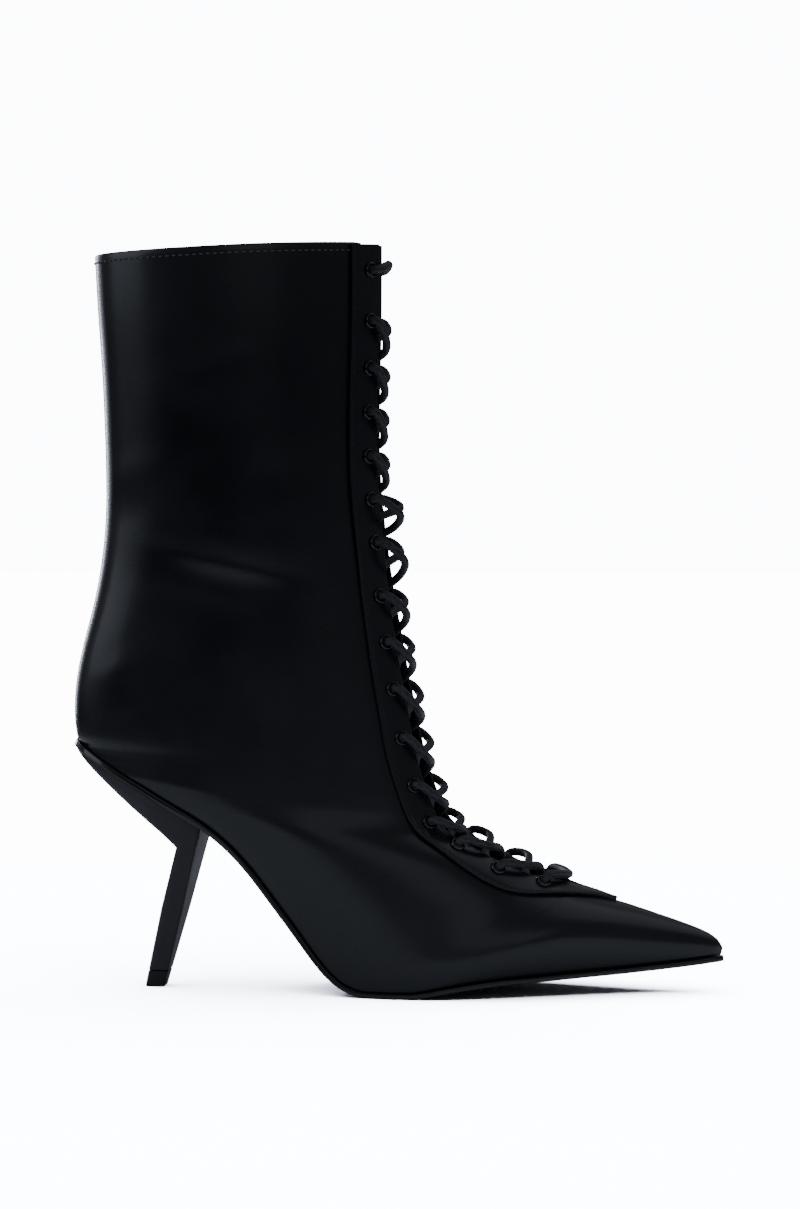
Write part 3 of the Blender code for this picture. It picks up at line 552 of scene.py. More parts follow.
def new_object(name: str, points: np.ndarray, faces: list[Sequence[int]],
               sharp: float = 40.0) -> bpy.types.Object:
    """Make a smooth mesh object with its place in its mesh.

    Args:
        name: The piece's name.
        points: Vertices.
        faces: Vertex indices of each face.
        sharp: Angle in degrees from which an edge stays sharp.

    Returns:
        The object at the origin.
    """
    data = bpy.data.meshes.new(name)
    data.from_pydata((points + SHIFT).tolist(), [], [tuple(f) for f in faces])
    mesh = bmesh.new()
    mesh.from_mesh(data)
    bmesh.ops.recalc_face_normals(mesh, faces=mesh.faces)
    if mesh.calc_volume(signed=True) < 0.0:
        bmesh.ops.reverse_faces(mesh, faces=mesh.faces)
    mesh.to_mesh(data)
    mesh.free()
    data.shade_smooth()
    data.set_sharp_from_angle(angle=math.radians(sharp))
    piece = bpy.data.objects.new(name, data)
    bpy.context.collection.objects.link(piece)
    return piece


class Sheet:
    """A surface of welded points with a height over it and a depth under it."""

    def __init__(self) -> None:
        """Start with no points."""
        self.points: list[np.ndarray] = []
        self.high: list[float] = []
        self.low: list[float] = []
        self.round: list[float] = []
        self.index: dict[tuple[float, float, float], int] = {}
        self.faces: list[list[int]] = []

    def add(self, point: np.ndarray, high: float, low: float, rim: float) -> int:
        """Add a point, or find the one already there.

        Args:
            point: A point of the surface.
            high: Height of the outer face over it.
            low: Height of the inner face over it.
            rim: How far a rounded rim stands out beyond it.

        Returns:
            The point's index.
        """
        key = tuple(np.round(point, 6))
        if key not in self.index:
            self.index[key] = len(self.points)
            self.points.append(point)
            self.high.append(high)
            self.low.append(low)
            self.round.append(rim)
        return self.index[key]

    def add_grid(self, rows: list[list[int]], flip: bool) -> None:
        """Add the faces between rows of point indices.

        Args:
            rows: Point indices, row by row.
            flip: True to turn the faces round.
        """
        for low, high in zip(rows, rows[1:]):
            for i in range(len(low) - 1):
                corners = [low[i], low[i + 1], high[i + 1], high[i]]
                if flip:
                    corners.reverse()
                kept = [c for n, c in enumerate(corners) if c != corners[n - 1]]
                if len(set(kept)) == len(kept) and len(kept) > 2:
                    self.faces.append(kept)

    def normals(self) -> np.ndarray:
        """Normals of the points, from the faces around them.

        Returns:
            One unit vector for each point.
        """
        points = np.array(self.points)
        result = np.zeros_like(points)
        for face in self.faces:
            a, b, c, d = (points[i] for i in (face[0], face[1], face[-1], face[-2]))
            normal = np.cross(b - a, c - a) + np.cross(c - d, b - d)
            result[face] += normal
        return unit(result)

    def solid(self, name: str, relief: Callable[[np.ndarray], np.ndarray] | None = None,
              arc: int = 4, lined: bool = False) -> bpy.types.Object:
        """Make the closed solid with rounded rims.

        Args:
            name: The piece's name.
            relief: Height that folds add to the outer face at each point.
            arc: Faces round a rim.
            lined: True to give the inner faces the piece's second material.

        Returns:
            The object.
        """
        points = np.array(self.points)
        normals = self.normals()
        high = np.array(self.high)
        low = np.array(self.low)
        if relief is not None:
            high = high + relief(points)
        count = len(points)
        uses = {}
        for face in self.faces:
            for n, end in enumerate(face):
                uses[(face[n - 1], end)] = face
        edges = [(a, b) for a, b in uses if (b, a) not in uses]
        centres = np.zeros_like(points)
        tally = np.zeros(count)
        for face in self.faces:
            centres[face] += points[face].mean(axis=0)
            tally[face] += 1
        away = points - centres / np.maximum(tally, 1)[:, None]
        away -= normals * np.sum(away * normals, axis=1, keepdims=True)
        away = unit(away)
        rims = sorted({v for edge in edges for v in edge})
        tops = points + normals * high[:, None]
        bottoms = points + normals * low[:, None]
        verts = [tops, bottoms]
        rim_index = {v: i for i, v in enumerate(rims)}
        middle = (high[rims] + low[rims]) / 2
        half = (high[rims] - low[rims]) / 2
        reach = np.array(self.round)[rims]
        for k in range(1, arc):
            angle = math.pi * k / arc
            offset = middle + half * math.cos(angle)
            verts.append(points[rims] + normals[rims] * offset[:, None]
                         + away[rims] * (reach * math.sin(angle))[:, None])
        faces = [list(face) for face in self.faces]
        faces += [[i + count for i in reversed(face)] for face in self.faces]

        def level(v: int, k: int) -> int:
            """Index of a rim vertex at a step round the rim.

            Args:
                v: The rim point.
                k: Steps from the outer face, up to the inner face.

            Returns:
                The vertex's index.
            """
            if k == 0:
                return v
            if k == arc:
                return v + count
            return 2 * count + (k - 1) * len(rims) + rim_index[v]

        for a, b in edges:
            for k in range(arc):
                faces.append([level(b, k), level(a, k), level(a, k + 1), level(b, k + 1)])
        made = new_object(name, np.concatenate(verts), faces)
        if lined:
            for polygon in made.data.polygons:
                inner = len(self.faces) <= polygon.index < 2 * len(self.faces)
                polygon.material_index = int(inner)
        return made


def loft(name: str, loops: np.ndarray, sharp: float = 40.0) -> bpy.types.Object:
    """Make the solid through closed loops of equal length, capped at both ends.

    Args:
        name: The piece's name.
        loops: Points by loop, by place round the loop.
        sharp: Angle in degrees from which an edge stays sharp.

    Returns:
        The object.
    """
    rings, around = loops.shape[:2]
    faces = []
    for i in range(rings - 1):
        for j in range(around):
            k = (j + 1) % around
            faces.append((i * around + j, i * around + k,
                          (i + 1) * around + k, (i + 1) * around + j))
    faces.append(tuple(range(around)))
    faces.append(tuple((rings - 1) * around + j for j in reversed(range(around))))
    return new_object(name, loops.reshape(-1, 3), faces, sharp)


def places(counts: Sequence[tuple[float, float, int]]) -> list[float]:
    """Places along the boot, as evenly spaced runs.

    Args:
        counts: Runs of first place, last place and number of steps.

    Returns:
        All the places, each once.
    """
    result = []
    for low, high, count in counts:
        result += list(np.linspace(low, high, count, endpoint=False))
    result.append(counts[-1][1])
    return result


def settle(piece: bpy.types.Object, slot: str, material: bpy.types.Material,
           *nodes: str) -> bpy.types.Object:
    """Dress a finished piece and hang it on the boot's body.

    Args:
        piece: The piece.
        slot: The record's material slot; not used.
        material: The piece's material.
        nodes: CAD nodes that it stands for.

    Returns:
        The piece.
    """
    if not piece.data.materials:
        piece.data.materials.append(material)
    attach(piece, BODY)
    if nodes:
        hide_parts(*nodes)
    count = sum(len(p.vertices) - 2 for p in piece.data.polygons)
    LOG.info("%s: %d triangles", piece.name, count)
    return piece


@dataclass(frozen=True)
class Fold:
    """A soft ridge or trough of the leather, from one place in the side view to another."""

    start: tuple[float, float]
    end: tuple[float, float]
    width: float
    height: float

    def relief(self, x: np.ndarray, z: np.ndarray) -> np.ndarray:
        """Height that the fold adds.

        Args:
            x: Places along the boot, in millimetres.
            z: Heights, in millimetres.

        Returns:
            Heights in metres.
        """
        run = np.array(self.end) - np.array(self.start)
        length = float(np.hypot(*run))
        heading = run / length
        along = (x - self.start[0]) * heading[0] + (z - self.start[1]) * heading[1]
        across = (z - self.start[1]) * heading[0] - (x - self.start[0]) * heading[1]
        fade = np.clip(along / length, 0.0, 1.0)
        fade = np.sin(math.pi * np.clip(fade * 0.9 + 0.05, 0.0, 1.0)) ** 1.2
        past = np.maximum(np.maximum(-along, along - length), 0.0)
        bell = np.exp(-(across / self.width) ** 2 - (past / self.width) ** 2)
        return self.height * MM * fade * bell


# Folds of the outer side: the ridge over the ankle with a hollow below and above it, the
# small waves at the back edge, the dents of the counter and the lazy waves of the shaft.
OUTER_FOLDS = (
    Fold((-92.0, 172.0), (-30.0, 158.0), 3.4, 0.70),
    Fold((-94.0, 162.0), (-42.0, 150.0), 6.0, -0.55),
    Fold((-88.0, 182.0), (-28.0, 168.0), 6.0, -0.35),
    Fold((-112.0, 196.0), (-84.0, 206.0), 6.0, 0.20),
    Fold((-112.0, 180.0), (-84.0, 192.0), 7.0, -0.22),
    Fold((-116.0, 118.0), (-92.0, 132.0), 5.0, 0.35),
    Fold((-114.0, 104.0), (-88.0, 118.0), 5.0, -0.30),
    Fold((-84.0, 236.0), (-44.0, 246.0), 5.0, 0.18),
    Fold((-60.0, 200.0), (-20.0, 192.0), 11.0, 0.30),
    Fold((-100.0, 226.0), (-50.0, 220.0), 14.0, 0.25),
)
# Folds of the inner side: the same ridge and hollows, lower down, a wave of the shaft and
# a dent of the vamp.
INNER_FOLDS = (
    Fold((-98.0, 156.0), (-34.0, 148.0), 6.0, 0.60),
    Fold((-100.0, 144.0), (-40.0, 134.0), 7.0, -0.50),
    Fold((-92.0, 170.0), (-26.0, 166.0), 8.0, -0.40),
    Fold((-80.0, 204.0), (-30.0, 196.0), 12.0, 0.30),
    Fold((-30.0, 124.0), (2.0, 96.0), 7.0, -0.35),
)


@dataclass
class Shell:
    """The upper: one leather skin with its lining, from the collar to the toe."""

    last: Last
    faces_round: int = 60
    turn_weight: float = 0.012
    seam_width: float = 0.0009
    seam_depth: float = 0.00035
    # Where the back seam shows: behind this x, and this far to each side.
    seam_front: float = -0.100
    seam_reach: float = 0.006
    # Half width over which the two sides' folds run into each other.
    fold_blend: float = 0.016
    # The wall at the toe tip: a share of the room there, but no less than this.
    tip_share: float = 0.45
    tip_wall: float = 0.0004

    def relief(self, points: np.ndarray) -> np.ndarray:
        """Height that the folds and the back seam add.

        Args:
            points: Points of the outer face.

        Returns:
            A height for each point.
        """
        x, z = points[:, 0] / MM, points[:, 2] / MM
        outer = sum(fold.relief(x, z) for fold in OUTER_FOLDS)
        inner = sum(fold.relief(x, z) for fold in INNER_FOLDS)
        share = np.clip(points[:, 1] / self.fold_blend * 0.5 + 0.5, 0.0, 1.0)
        folds = outer * (1 - share) + inner * share
        behind = ((points[:, 0] < self.seam_front)
                  & (np.abs(points[:, 1]) < self.seam_reach))
        seam = np.where(behind, np.exp(-(points[:, 1] / self.seam_width) ** 2), 0.0)
        return folds - self.seam_depth * seam

    def build(self) -> bpy.types.Object:
        """Make the upper.

        Returns:
            The upper's object.
        """
        sheet = Sheet()
        last = self.last
        rings = places(((0, 4, 44), (4, 10, 54), (10, 18, 70), (18, 25, 56), (25, 26, 10)))
        for side in Side:
            rows = []
            for u in rings:
                cut = last.cut(u, side.value)
                open_front = u < THROAT_END
                start = last.throat(u) if open_front else 0.0
                ways = cut.spread(start, self.faces_round, self.turn_weight)
                points = cut.at_ways(ways)
                depth = min(last.wall, max(self.tip_share * cut.reach, self.tip_wall))
                row = []
                for i, point in enumerate(points):
                    collar = u == 0
                    edge = open_front and i == 0
                    rim = last.wall / 2 if collar or edge else 0.0
                    row.append(sheet.add(point, 0.0, -depth, rim))
                rows.append(row)
            sheet.add_grid(rows, side is Side.INNER)
        return sheet.solid("upper_leather", self.relief, lined=True)


@dataclass
class EyeletBand:
    """The folded strap round the throat, with its holes and its groove."""

    last: Last
    seat: float = 0.0004
    thickness: float = 0.0013
    fold: float = 0.0007
    groove_at: float = 0.0016
    groove_width: float = 0.00025
    groove_depth: float = 0.00010
    hole: float = 0.0024
    # Where its two halves join below the throat, and how fast their front edges part.
    join_u: float = 17.9
    join_rate: float = 0.010

    def edge_steps(self, width: float) -> np.ndarray:
        """Places across the band, closer at its two edges.

        Args:
            width: The band's width there.

        Returns:
            Distances from its front edge.
        """
        steps = np.array((0, 0.1, 0.25, 0.45, 0.7, 1.0, 1.25, 1.45, 1.6, 1.75, 1.95, 2.3)) * MM
        scale = min(1.0, width / 2 / (2.6 * MM))
        steps = steps * scale
        inner = np.linspace(steps[-1], width - steps[-1], 12)[1:-1]
        return np.concatenate((steps, inner, (width - steps)[::-1]))

    def height(self, distance: float) -> float:
        """Height of the band's face at a distance from its edge.

        Args:
            distance: Distance from the nearer edge.

        Returns:
            Height over the upper's face.
        """
        share = min(max(distance, 0.0) / self.fold, 1.0)
        body = 0.50 + 0.50 * math.sqrt(1 - (1 - share) ** 2)
        groove = math.exp(-((distance - self.groove_at) / self.groove_width) ** 2)
        return self.seat + self.thickness * body - self.groove_depth * groove

    def build(self, eyelets: list[Eyelet]) -> bpy.types.Object:
        """Make the band and cut its holes.

        Args:
            eyelets: Where the eyelets sit.

        Returns:
            The band's object.
        """
        sheet = Sheet()
        last = self.last
        rings = places(((0, 4, 40), (4, 10, 42), (10, 16, 48), (16, 18, 26), (18, 20, 20)))
        for side in Side:
            rows = []
            for u in rings:
                front, rear = last.gap(u), last.band(u)
                steps = self.edge_steps(rear - front)
                points = last.cut(u, side.value).at_ways(front + steps)
                row = []
                for point, step in zip(points, steps):
                    joined = max(u - self.join_u, 0.0) * self.join_rate
                    distance = min(step + joined, rear - front - step + 0.00005)
                    row.append(sheet.add(point, self.height(distance), self.seat * 0.5, 0.0))
                rows.append(row)
            sheet.add_grid(rows, side is Side.INNER)
        band = sheet.solid("eyelet_band", None, 2)
        self.drill(band, eyelets)
        return band

    def drill(self, band: bpy.types.Object, eyelets: list[Eyelet]) -> None:
        """Cut the holes through the band.

        Args:
            band: The band.
            eyelets: Where the holes are.
        """
        drill = bmesh.new()
        for eyelet in eyelets:
            bmesh.ops.create_cone(drill, cap_ends=True, segments=20, radius1=self.hole,
                                  radius2=self.hole, depth=self.thickness * 4,
                                  matrix=Matrix.Translation(Vector(SHIFT)) @ eyelet.frame(
                                      self.seat + self.thickness / 2))
        data = bpy.data.meshes.new("drill")
        drill.to_mesh(data)
        drill.free()
        cutter = bpy.data.objects.new("drill", data)
        bpy.context.collection.objects.link(cutter)
        cut = band.modifiers.new("holes", "BOOLEAN")
        cut.operation = "DIFFERENCE"
        cut.solver = "EXACT"
        cut.object = cutter
        freeze(band)
        bpy.data.objects.remove(cutter, do_unlink=True)


def freeze(piece: bpy.types.Object) -> None:
    """Turn a piece's modifiers into its own mesh.

    Args:
        piece: The piece.
    """
    graph = bpy.context.evaluated_depsgraph_get()
    made = bpy.data.meshes.new_from_object(piece.evaluated_get(graph))
    made.name = piece.name
    if piece.type == "MESH":
        piece.modifiers.clear()
        piece.data = made


@dataclass
class Eyelet:
    """Where one eyelet sits on the band, and the way that it faces."""

    u: float
    side: int
    seat: np.ndarray
    axis: np.ndarray

    def at(self, offset: float) -> np.ndarray:
        """A point over the seat."""
        return self.seat + self.axis * offset

    def frame(self, offset: float) -> Matrix:
        """A placement over the seat with its Z along the axis."""
        turn = Vector(self.axis).to_track_quat("Z", "X").to_matrix().to_4x4()
        return Matrix.Translation(Vector(self.at(offset))) @ turn


def seat_eyelets(last: Last) -> list[dict[int, Eyelet]]:
    """Find the eyelets' seats, row by row.

    Args:
        last: The last.

    Returns:
        For each row its two eyelets by side.
    """
    line = np.linspace(last.eyelet_first, last.eyelet_last, 160)
    points = np.array([last.point(u, -last.eyelet_way(u)) for u in line])
    legs = np.linalg.norm(np.diff(points, axis=0), axis=1)
    ways = np.concatenate(([0.0], np.cumsum(legs)))
    rows = []
    for share in EYELET_STATIONS:
        u = float(np.interp(share * ways[-1], ways, line))
        row = {}
        for side in (-1, 1):
            way = side * last.eyelet_way(u)
            row[side] = Eyelet(u, side, last.point(u, way), last.normal(u, way))
        rows.append(row)
    return rows


def add_node(tree: bpy.types.NodeTree, kind: str, links: dict[str | int, object] | None = None,
             **settings: object) -> bpy.types.Node:
    """Add a node with its settings and links.

    Args:
        tree: The tree.
        kind: The node's type.
        links: For each input its source socket, or its value.
        settings: Properties of the node.

    Returns:
        The node.
    """
    node = tree.nodes.new(kind)
    for name, value in settings.items():
        setattr(node, name, value)
    for key, source in (links or {}).items():
        if isinstance(source, bpy.types.NodeSocket):
            tree.links.new(source, node.inputs[key])
        else:
            node.inputs[key].default_value = source
    return node


def repeat_tree(name: str, spacing: bool) -> bpy.types.NodeTree:
    """Geometry nodes that set one shape along a path or on every point of a cloud.

    Args:
        name: The tree's name.
        spacing: True to walk a path in even steps, False to use the points as they are.

    Returns:
        The tree, with inputs for the shape, its finish and the step.
    """
    tree = bpy.data.node_groups.new(name, "GeometryNodeTree")
    face = tree.interface
    face.new_socket("Geometry", in_out="INPUT", socket_type="NodeSocketGeometry")
    face.new_socket("Shape", in_out="INPUT", socket_type="NodeSocketObject")
    face.new_socket("Finish", in_out="INPUT", socket_type="NodeSocketMaterial")
    face.new_socket("Step", in_out="INPUT", socket_type="NodeSocketFloat")
    face.new_socket("Geometry", in_out="OUTPUT", socket_type="NodeSocketGeometry")
    given = tree.nodes.new("NodeGroupInput")
    result = tree.nodes.new("NodeGroupOutput")
    shape = add_node(tree, "GeometryNodeObjectInfo", {"Object": given.outputs["Shape"]})
    facing = add_node(tree, "GeometryNodeInputNamedAttribute", {"Name": "facing"},
                      data_type="FLOAT_VECTOR")
    stand = add_node(tree, "FunctionNodeAlignRotationToVector",
                     {"Vector": facing.outputs["Attribute"]}, axis="Z")
    turn = stand.outputs["Rotation"]
    points = given.outputs["Geometry"]
    if spacing:
        line = add_node(tree, "GeometryNodeMeshToCurve", {"Mesh": points})
        walk = add_node(tree, "GeometryNodeCurveToPoints",
                        {"Curve": line.outputs["Curve"], "Length": given.outputs["Step"]},
                        mode="LENGTH")
        points = walk.outputs["Points"]
        ahead = add_node(tree, "FunctionNodeAlignRotationToVector",
                         {"Rotation": turn, "Vector": walk.outputs["Tangent"]},
                         axis="X", pivot_axis="Z")
        turn = ahead.outputs["Rotation"]
    put = add_node(tree, "GeometryNodeInstanceOnPoints",
                   {"Points": points, "Instance": shape.outputs["Geometry"], "Rotation": turn})
    real = add_node(tree, "GeometryNodeRealizeInstances", {0: put.outputs["Instances"]})
    finish = add_node(tree, "GeometryNodeSetMaterial",
                      {"Geometry": real.outputs[0], "Material": given.outputs["Finish"]})
    tree.links.new(finish.outputs["Geometry"], result.inputs[0])
    return tree


def repeat(name: str, carrier: bpy.types.Object, shape: bpy.types.Object,
           material: bpy.types.Material, tree: bpy.types.NodeTree,
           step: float = 0.0) -> bpy.types.Object:
    """Set a shape along a carrier and make the result a plain mesh.

    Args:
        name: The piece's name.
        carrier: A path or a point mesh with a "facing" attribute.
        shape: The repeated shape.
        material: The piece's material.
        tree: A tree of repeat_tree.
        step: Distance between neighbours on a path.

    Returns:
        The piece.
    """
    modifier = carrier.modifiers.new("repeat", "NODES")
    modifier.node_group = tree
    values = {"Shape": shape, "Finish": material, "Step": step}
    for item in tree.interface.items_tree:
        if item.in_out == "INPUT" and item.name in values:
            modifier[item.identifier] = values[item.name]
    bpy.context.view_layer.update()
    graph = bpy.context.evaluated_depsgraph_get()
    data = bpy.data.meshes.new_from_object(carrier.evaluated_get(graph))
    data.name = name
    piece = bpy.data.objects.new(name, data)
    bpy.context.collection.objects.link(piece)
    data.shade_smooth()
    data.set_sharp_from_angle(angle=math.radians(50))
    bpy.data.objects.remove(carrier, do_unlink=True)
    bpy.data.objects.remove(shape, do_unlink=True)
    return piece


def loose_mesh(name: str, verts: Iterable[Sequence[float]],
               faces: Iterable[Sequence[int]]) -> bpy.types.Object:
    """Make a mesh object at the origin, as it is given.

    Args:
        name: The object's name.
        verts: Its vertices.
        faces: Vertex indices of each face.

    Returns:
        The object.
    """
    data = bpy.data.meshes.new(name)
    data.from_pydata([tuple(v) for v in verts], [], [tuple(f) for f in faces])
    made = bpy.data.objects.new(name, data)
    bpy.context.collection.objects.link(made)
    return made


def path_carrier(name: str, points: np.ndarray, facing: np.ndarray) -> bpy.types.Object:
    """Make a path of edges that knows which way its surface faces.

    Args:
        name: The carrier's name.
        points: Points of the path.
        facing: Outward direction at each point.

    Returns:
        The path's object.
    """
    made = loose_mesh(name, points + SHIFT, [])
    data = made.data
    data.clear_geometry()
    data.from_pydata((points + SHIFT).tolist(),
                     [(i, i + 1) for i in range(len(points) - 1)], [])
    attribute = data.attributes.new("facing", "FLOAT_VECTOR", "POINT")
    attribute.data.foreach_set("vector", facing.astype(np.float32).ravel())
    return made


def stitch_shape(length: float, radius: float) -> bpy.types.Object:
    """One thread stitch: a short capsule, low over the leather.

    Args:
        length: Its length.
        radius: The thread's radius.

    Returns:
        The stitch along X.
    """
    around = 6
    sink = 0.6
    profile = ((-0.5, 0.15), (-0.42, 0.75), (-0.2, 1.0), (0.2, 1.0), (0.42, 0.75), (0.5, 0.15))
    verts = []
    for share, scale in profile:
        for k in range(around):
            angle = 2 * math.pi * k / around
            verts.append((share * length, radius * scale * math.sin(angle),
                          radius * scale * math.cos(angle) + radius * (scale - sink)))
    faces = []
    for i in range(len(profile) - 1):
        for k in range(around):
            m = (k + 1) % around
            faces.append((i * around + k, i * around + m,
                          (i + 1) * around + m, (i + 1) * around + k))
    faces.append(tuple(range(around)))
    last = (len(profile) - 1) * around
    faces.append(tuple(last + k for k in reversed(range(around))))
    shape = loose_mesh("stitch_shape", verts, faces)
    mesh = bmesh.new()
    mesh.from_mesh(shape.data)
    bmesh.ops.recalc_face_normals(mesh, faces=mesh.faces)
    mesh.to_mesh(shape.data)
    mesh.free()
    return shape


def ring_shape(bore: float, flange: float, height: float, depth: float) -> bpy.types.Object:
    """One ring eyelet: a rolled rim outside and a barrel down into the leather.

    Args:
        bore: Radius of the hole.
        flange: Radius of the rim.
        height: Height of the rolled rim.
        depth: Depth of the barrel.

    Returns:
        The ring round Z.
    """
    middle = (bore + flange) / 2
    half = (flange - bore) / 2
    outline = [(bore, -depth)]
    for k in range(9):
        angle = math.pi * (1 - k / 8)
        outline.append((middle + half * math.cos(angle), height * math.sin(angle) ** 0.8))
    sheet, lip = 0.0003, 0.0004
    outline += [(flange - lip, -0.0002), (bore + sheet, -sheet), (bore + sheet, -depth)]
    around = 28
    verts = []
    for k in range(around):
        angle = 2 * math.pi * k / around
        verts += [(r * math.cos(angle), r * math.sin(angle), z) for r, z in outline]
    count = len(outline)
    faces = []
    for k in range(around):
        m = (k + 1) % around
        for j in range(count):
            n = (j + 1) % count
            faces.append((k * count + j, m * count + j, m * count + n, k * count + n))
    shape = loose_mesh("ring_shape", verts, faces)
    mesh = bmesh.new()
    mesh.from_mesh(shape.data)
    bmesh.ops.recalc_face_normals(mesh, faces=mesh.faces)
    if mesh.calc_volume(signed=True) < 0.0:
        bmesh.ops.reverse_faces(mesh, faces=mesh.faces)
    mesh.to_mesh(shape.data)
    mesh.free()
    return shape


@dataclass
class EyeletRings:
    """The enamelled rings of both sides."""

    bore: float = 0.0019
    flange: float = 0.0030
    height: float = 0.0010
    depth: float = 0.0020
    seat: float = 0.00185

    def build(self, eyelets: list[Eyelet], material: bpy.types.Material,
              tree: bpy.types.NodeTree) -> bpy.types.Object:
        """Make all rings.

        Args:
            eyelets: Where they sit.
            material: The enamel.
            tree: The tree that sets them.

        Returns:
            The rings as one piece.
        """
        points = np.array([eyelet.at(self.seat) for eyelet in eyelets])
        carrier = loose_mesh("ring_seats", points + SHIFT, [])
        attribute = carrier.data.attributes.new("facing", "FLOAT_VECTOR", "POINT")
        axes = np.array([eyelet.axis for eyelet in eyelets], dtype=np.float32)
        attribute.data.foreach_set("vector", axes.ravel())
        shape = ring_shape(self.bore, self.flange, self.height, self.depth)
        return repeat("eyelet_rings", carrier, shape, material, tree)


@dataclass
class Seams:
    """The rows of thread stitches along the collar and the band's two edges."""

    last: Last
    length: float = 0.0017
    radius: float = 0.00022
    step: float = 0.0027
    edge_inset: float = 0.0013
    collar_drop: float = 0.0023
    collar_lift: float = 0.00022
    # Where the band's rows start and end, and the way that parts the two sides' rows.
    band_first: float = 0.12
    rear_last: float = 19.3
    front_last: float = 17.6
    least_way: float = 0.0008
    # Where the collar's row ends, short of the band and of the back seam.
    band_clear: float = 0.001
    seam_clear: float = 0.0005

    def row(self, name: str, points: np.ndarray, facing: np.ndarray,
            material: bpy.types.Material, tree: bpy.types.NodeTree) -> bpy.types.Object:
        """Sew one row.

        Args:
            name: The row's name.
            points: Points of its path.
            facing: Outward direction at each point.
            material: The thread.
            tree: The tree that sets the stitches.

        Returns:
            The row of stitches.
        """
        carrier = path_carrier(name + "_path", points, facing)
        shape = stitch_shape(self.length, self.radius)
        return repeat(name, carrier, shape, material, tree, self.step)

    def band_line(self, side: int, rear: bool, inset: float,
                  height: float) -> tuple[np.ndarray, np.ndarray]:
        """A line along one edge of the band.

        Args:
            side: The boot's side.
            rear: True for the rear edge.
            inset: Distance from the edge.
            height: Height over the upper's face.

        Returns:
            Points and outward directions.
        """
        last = self.last
        end = self.rear_last if rear else self.front_last
        points, facing = [], []
        for u in np.linspace(self.band_first, end, 260):
            way = last.band(u) - inset if rear else last.gap(u) + inset
            way = max(way, self.least_way)
            normal = last.normal(u, side * way)
            points.append(last.point(u, side * way) + normal * height)
            facing.append(normal)
        return np.array(points), np.array(facing)

    def collar_line(self, side: int, drop: float) -> tuple[np.ndarray, np.ndarray]:
        """A line round one side of the collar, a little under its edge.

        Args:
            side: The boot's side.
            drop: Distance under the edge.

        Returns:
            Points and outward directions.
        """
        last = self.last
        cut = last.cut(0.0, side)
        below = last.cut(0.5, side)
        ways = np.linspace(last.band(0.0) + self.band_clear,
                           cut.ways[-1] - self.seam_clear, 120)
        shares = (ways - ways[0]) / (ways[-1] - ways[0])
        low_ways = last.band(0.5) + self.band_clear + shares * (
            below.ways[-1] - self.seam_clear - last.band(0.5) - self.band_clear)
        top, low = cut.at_ways(ways), below.at_ways(low_ways)
        down = unit(low - top)
        along = unit(np.gradient(top, axis=0))
        facing = unit(np.cross(down, along)) * -side
        outward = np.sum(facing * np.array((0.0, side, 0.0)), axis=1)
        facing *= np.where(outward.mean() < 0, -1.0, 1.0)
        return top + down * drop + facing * self.collar_lift, facing


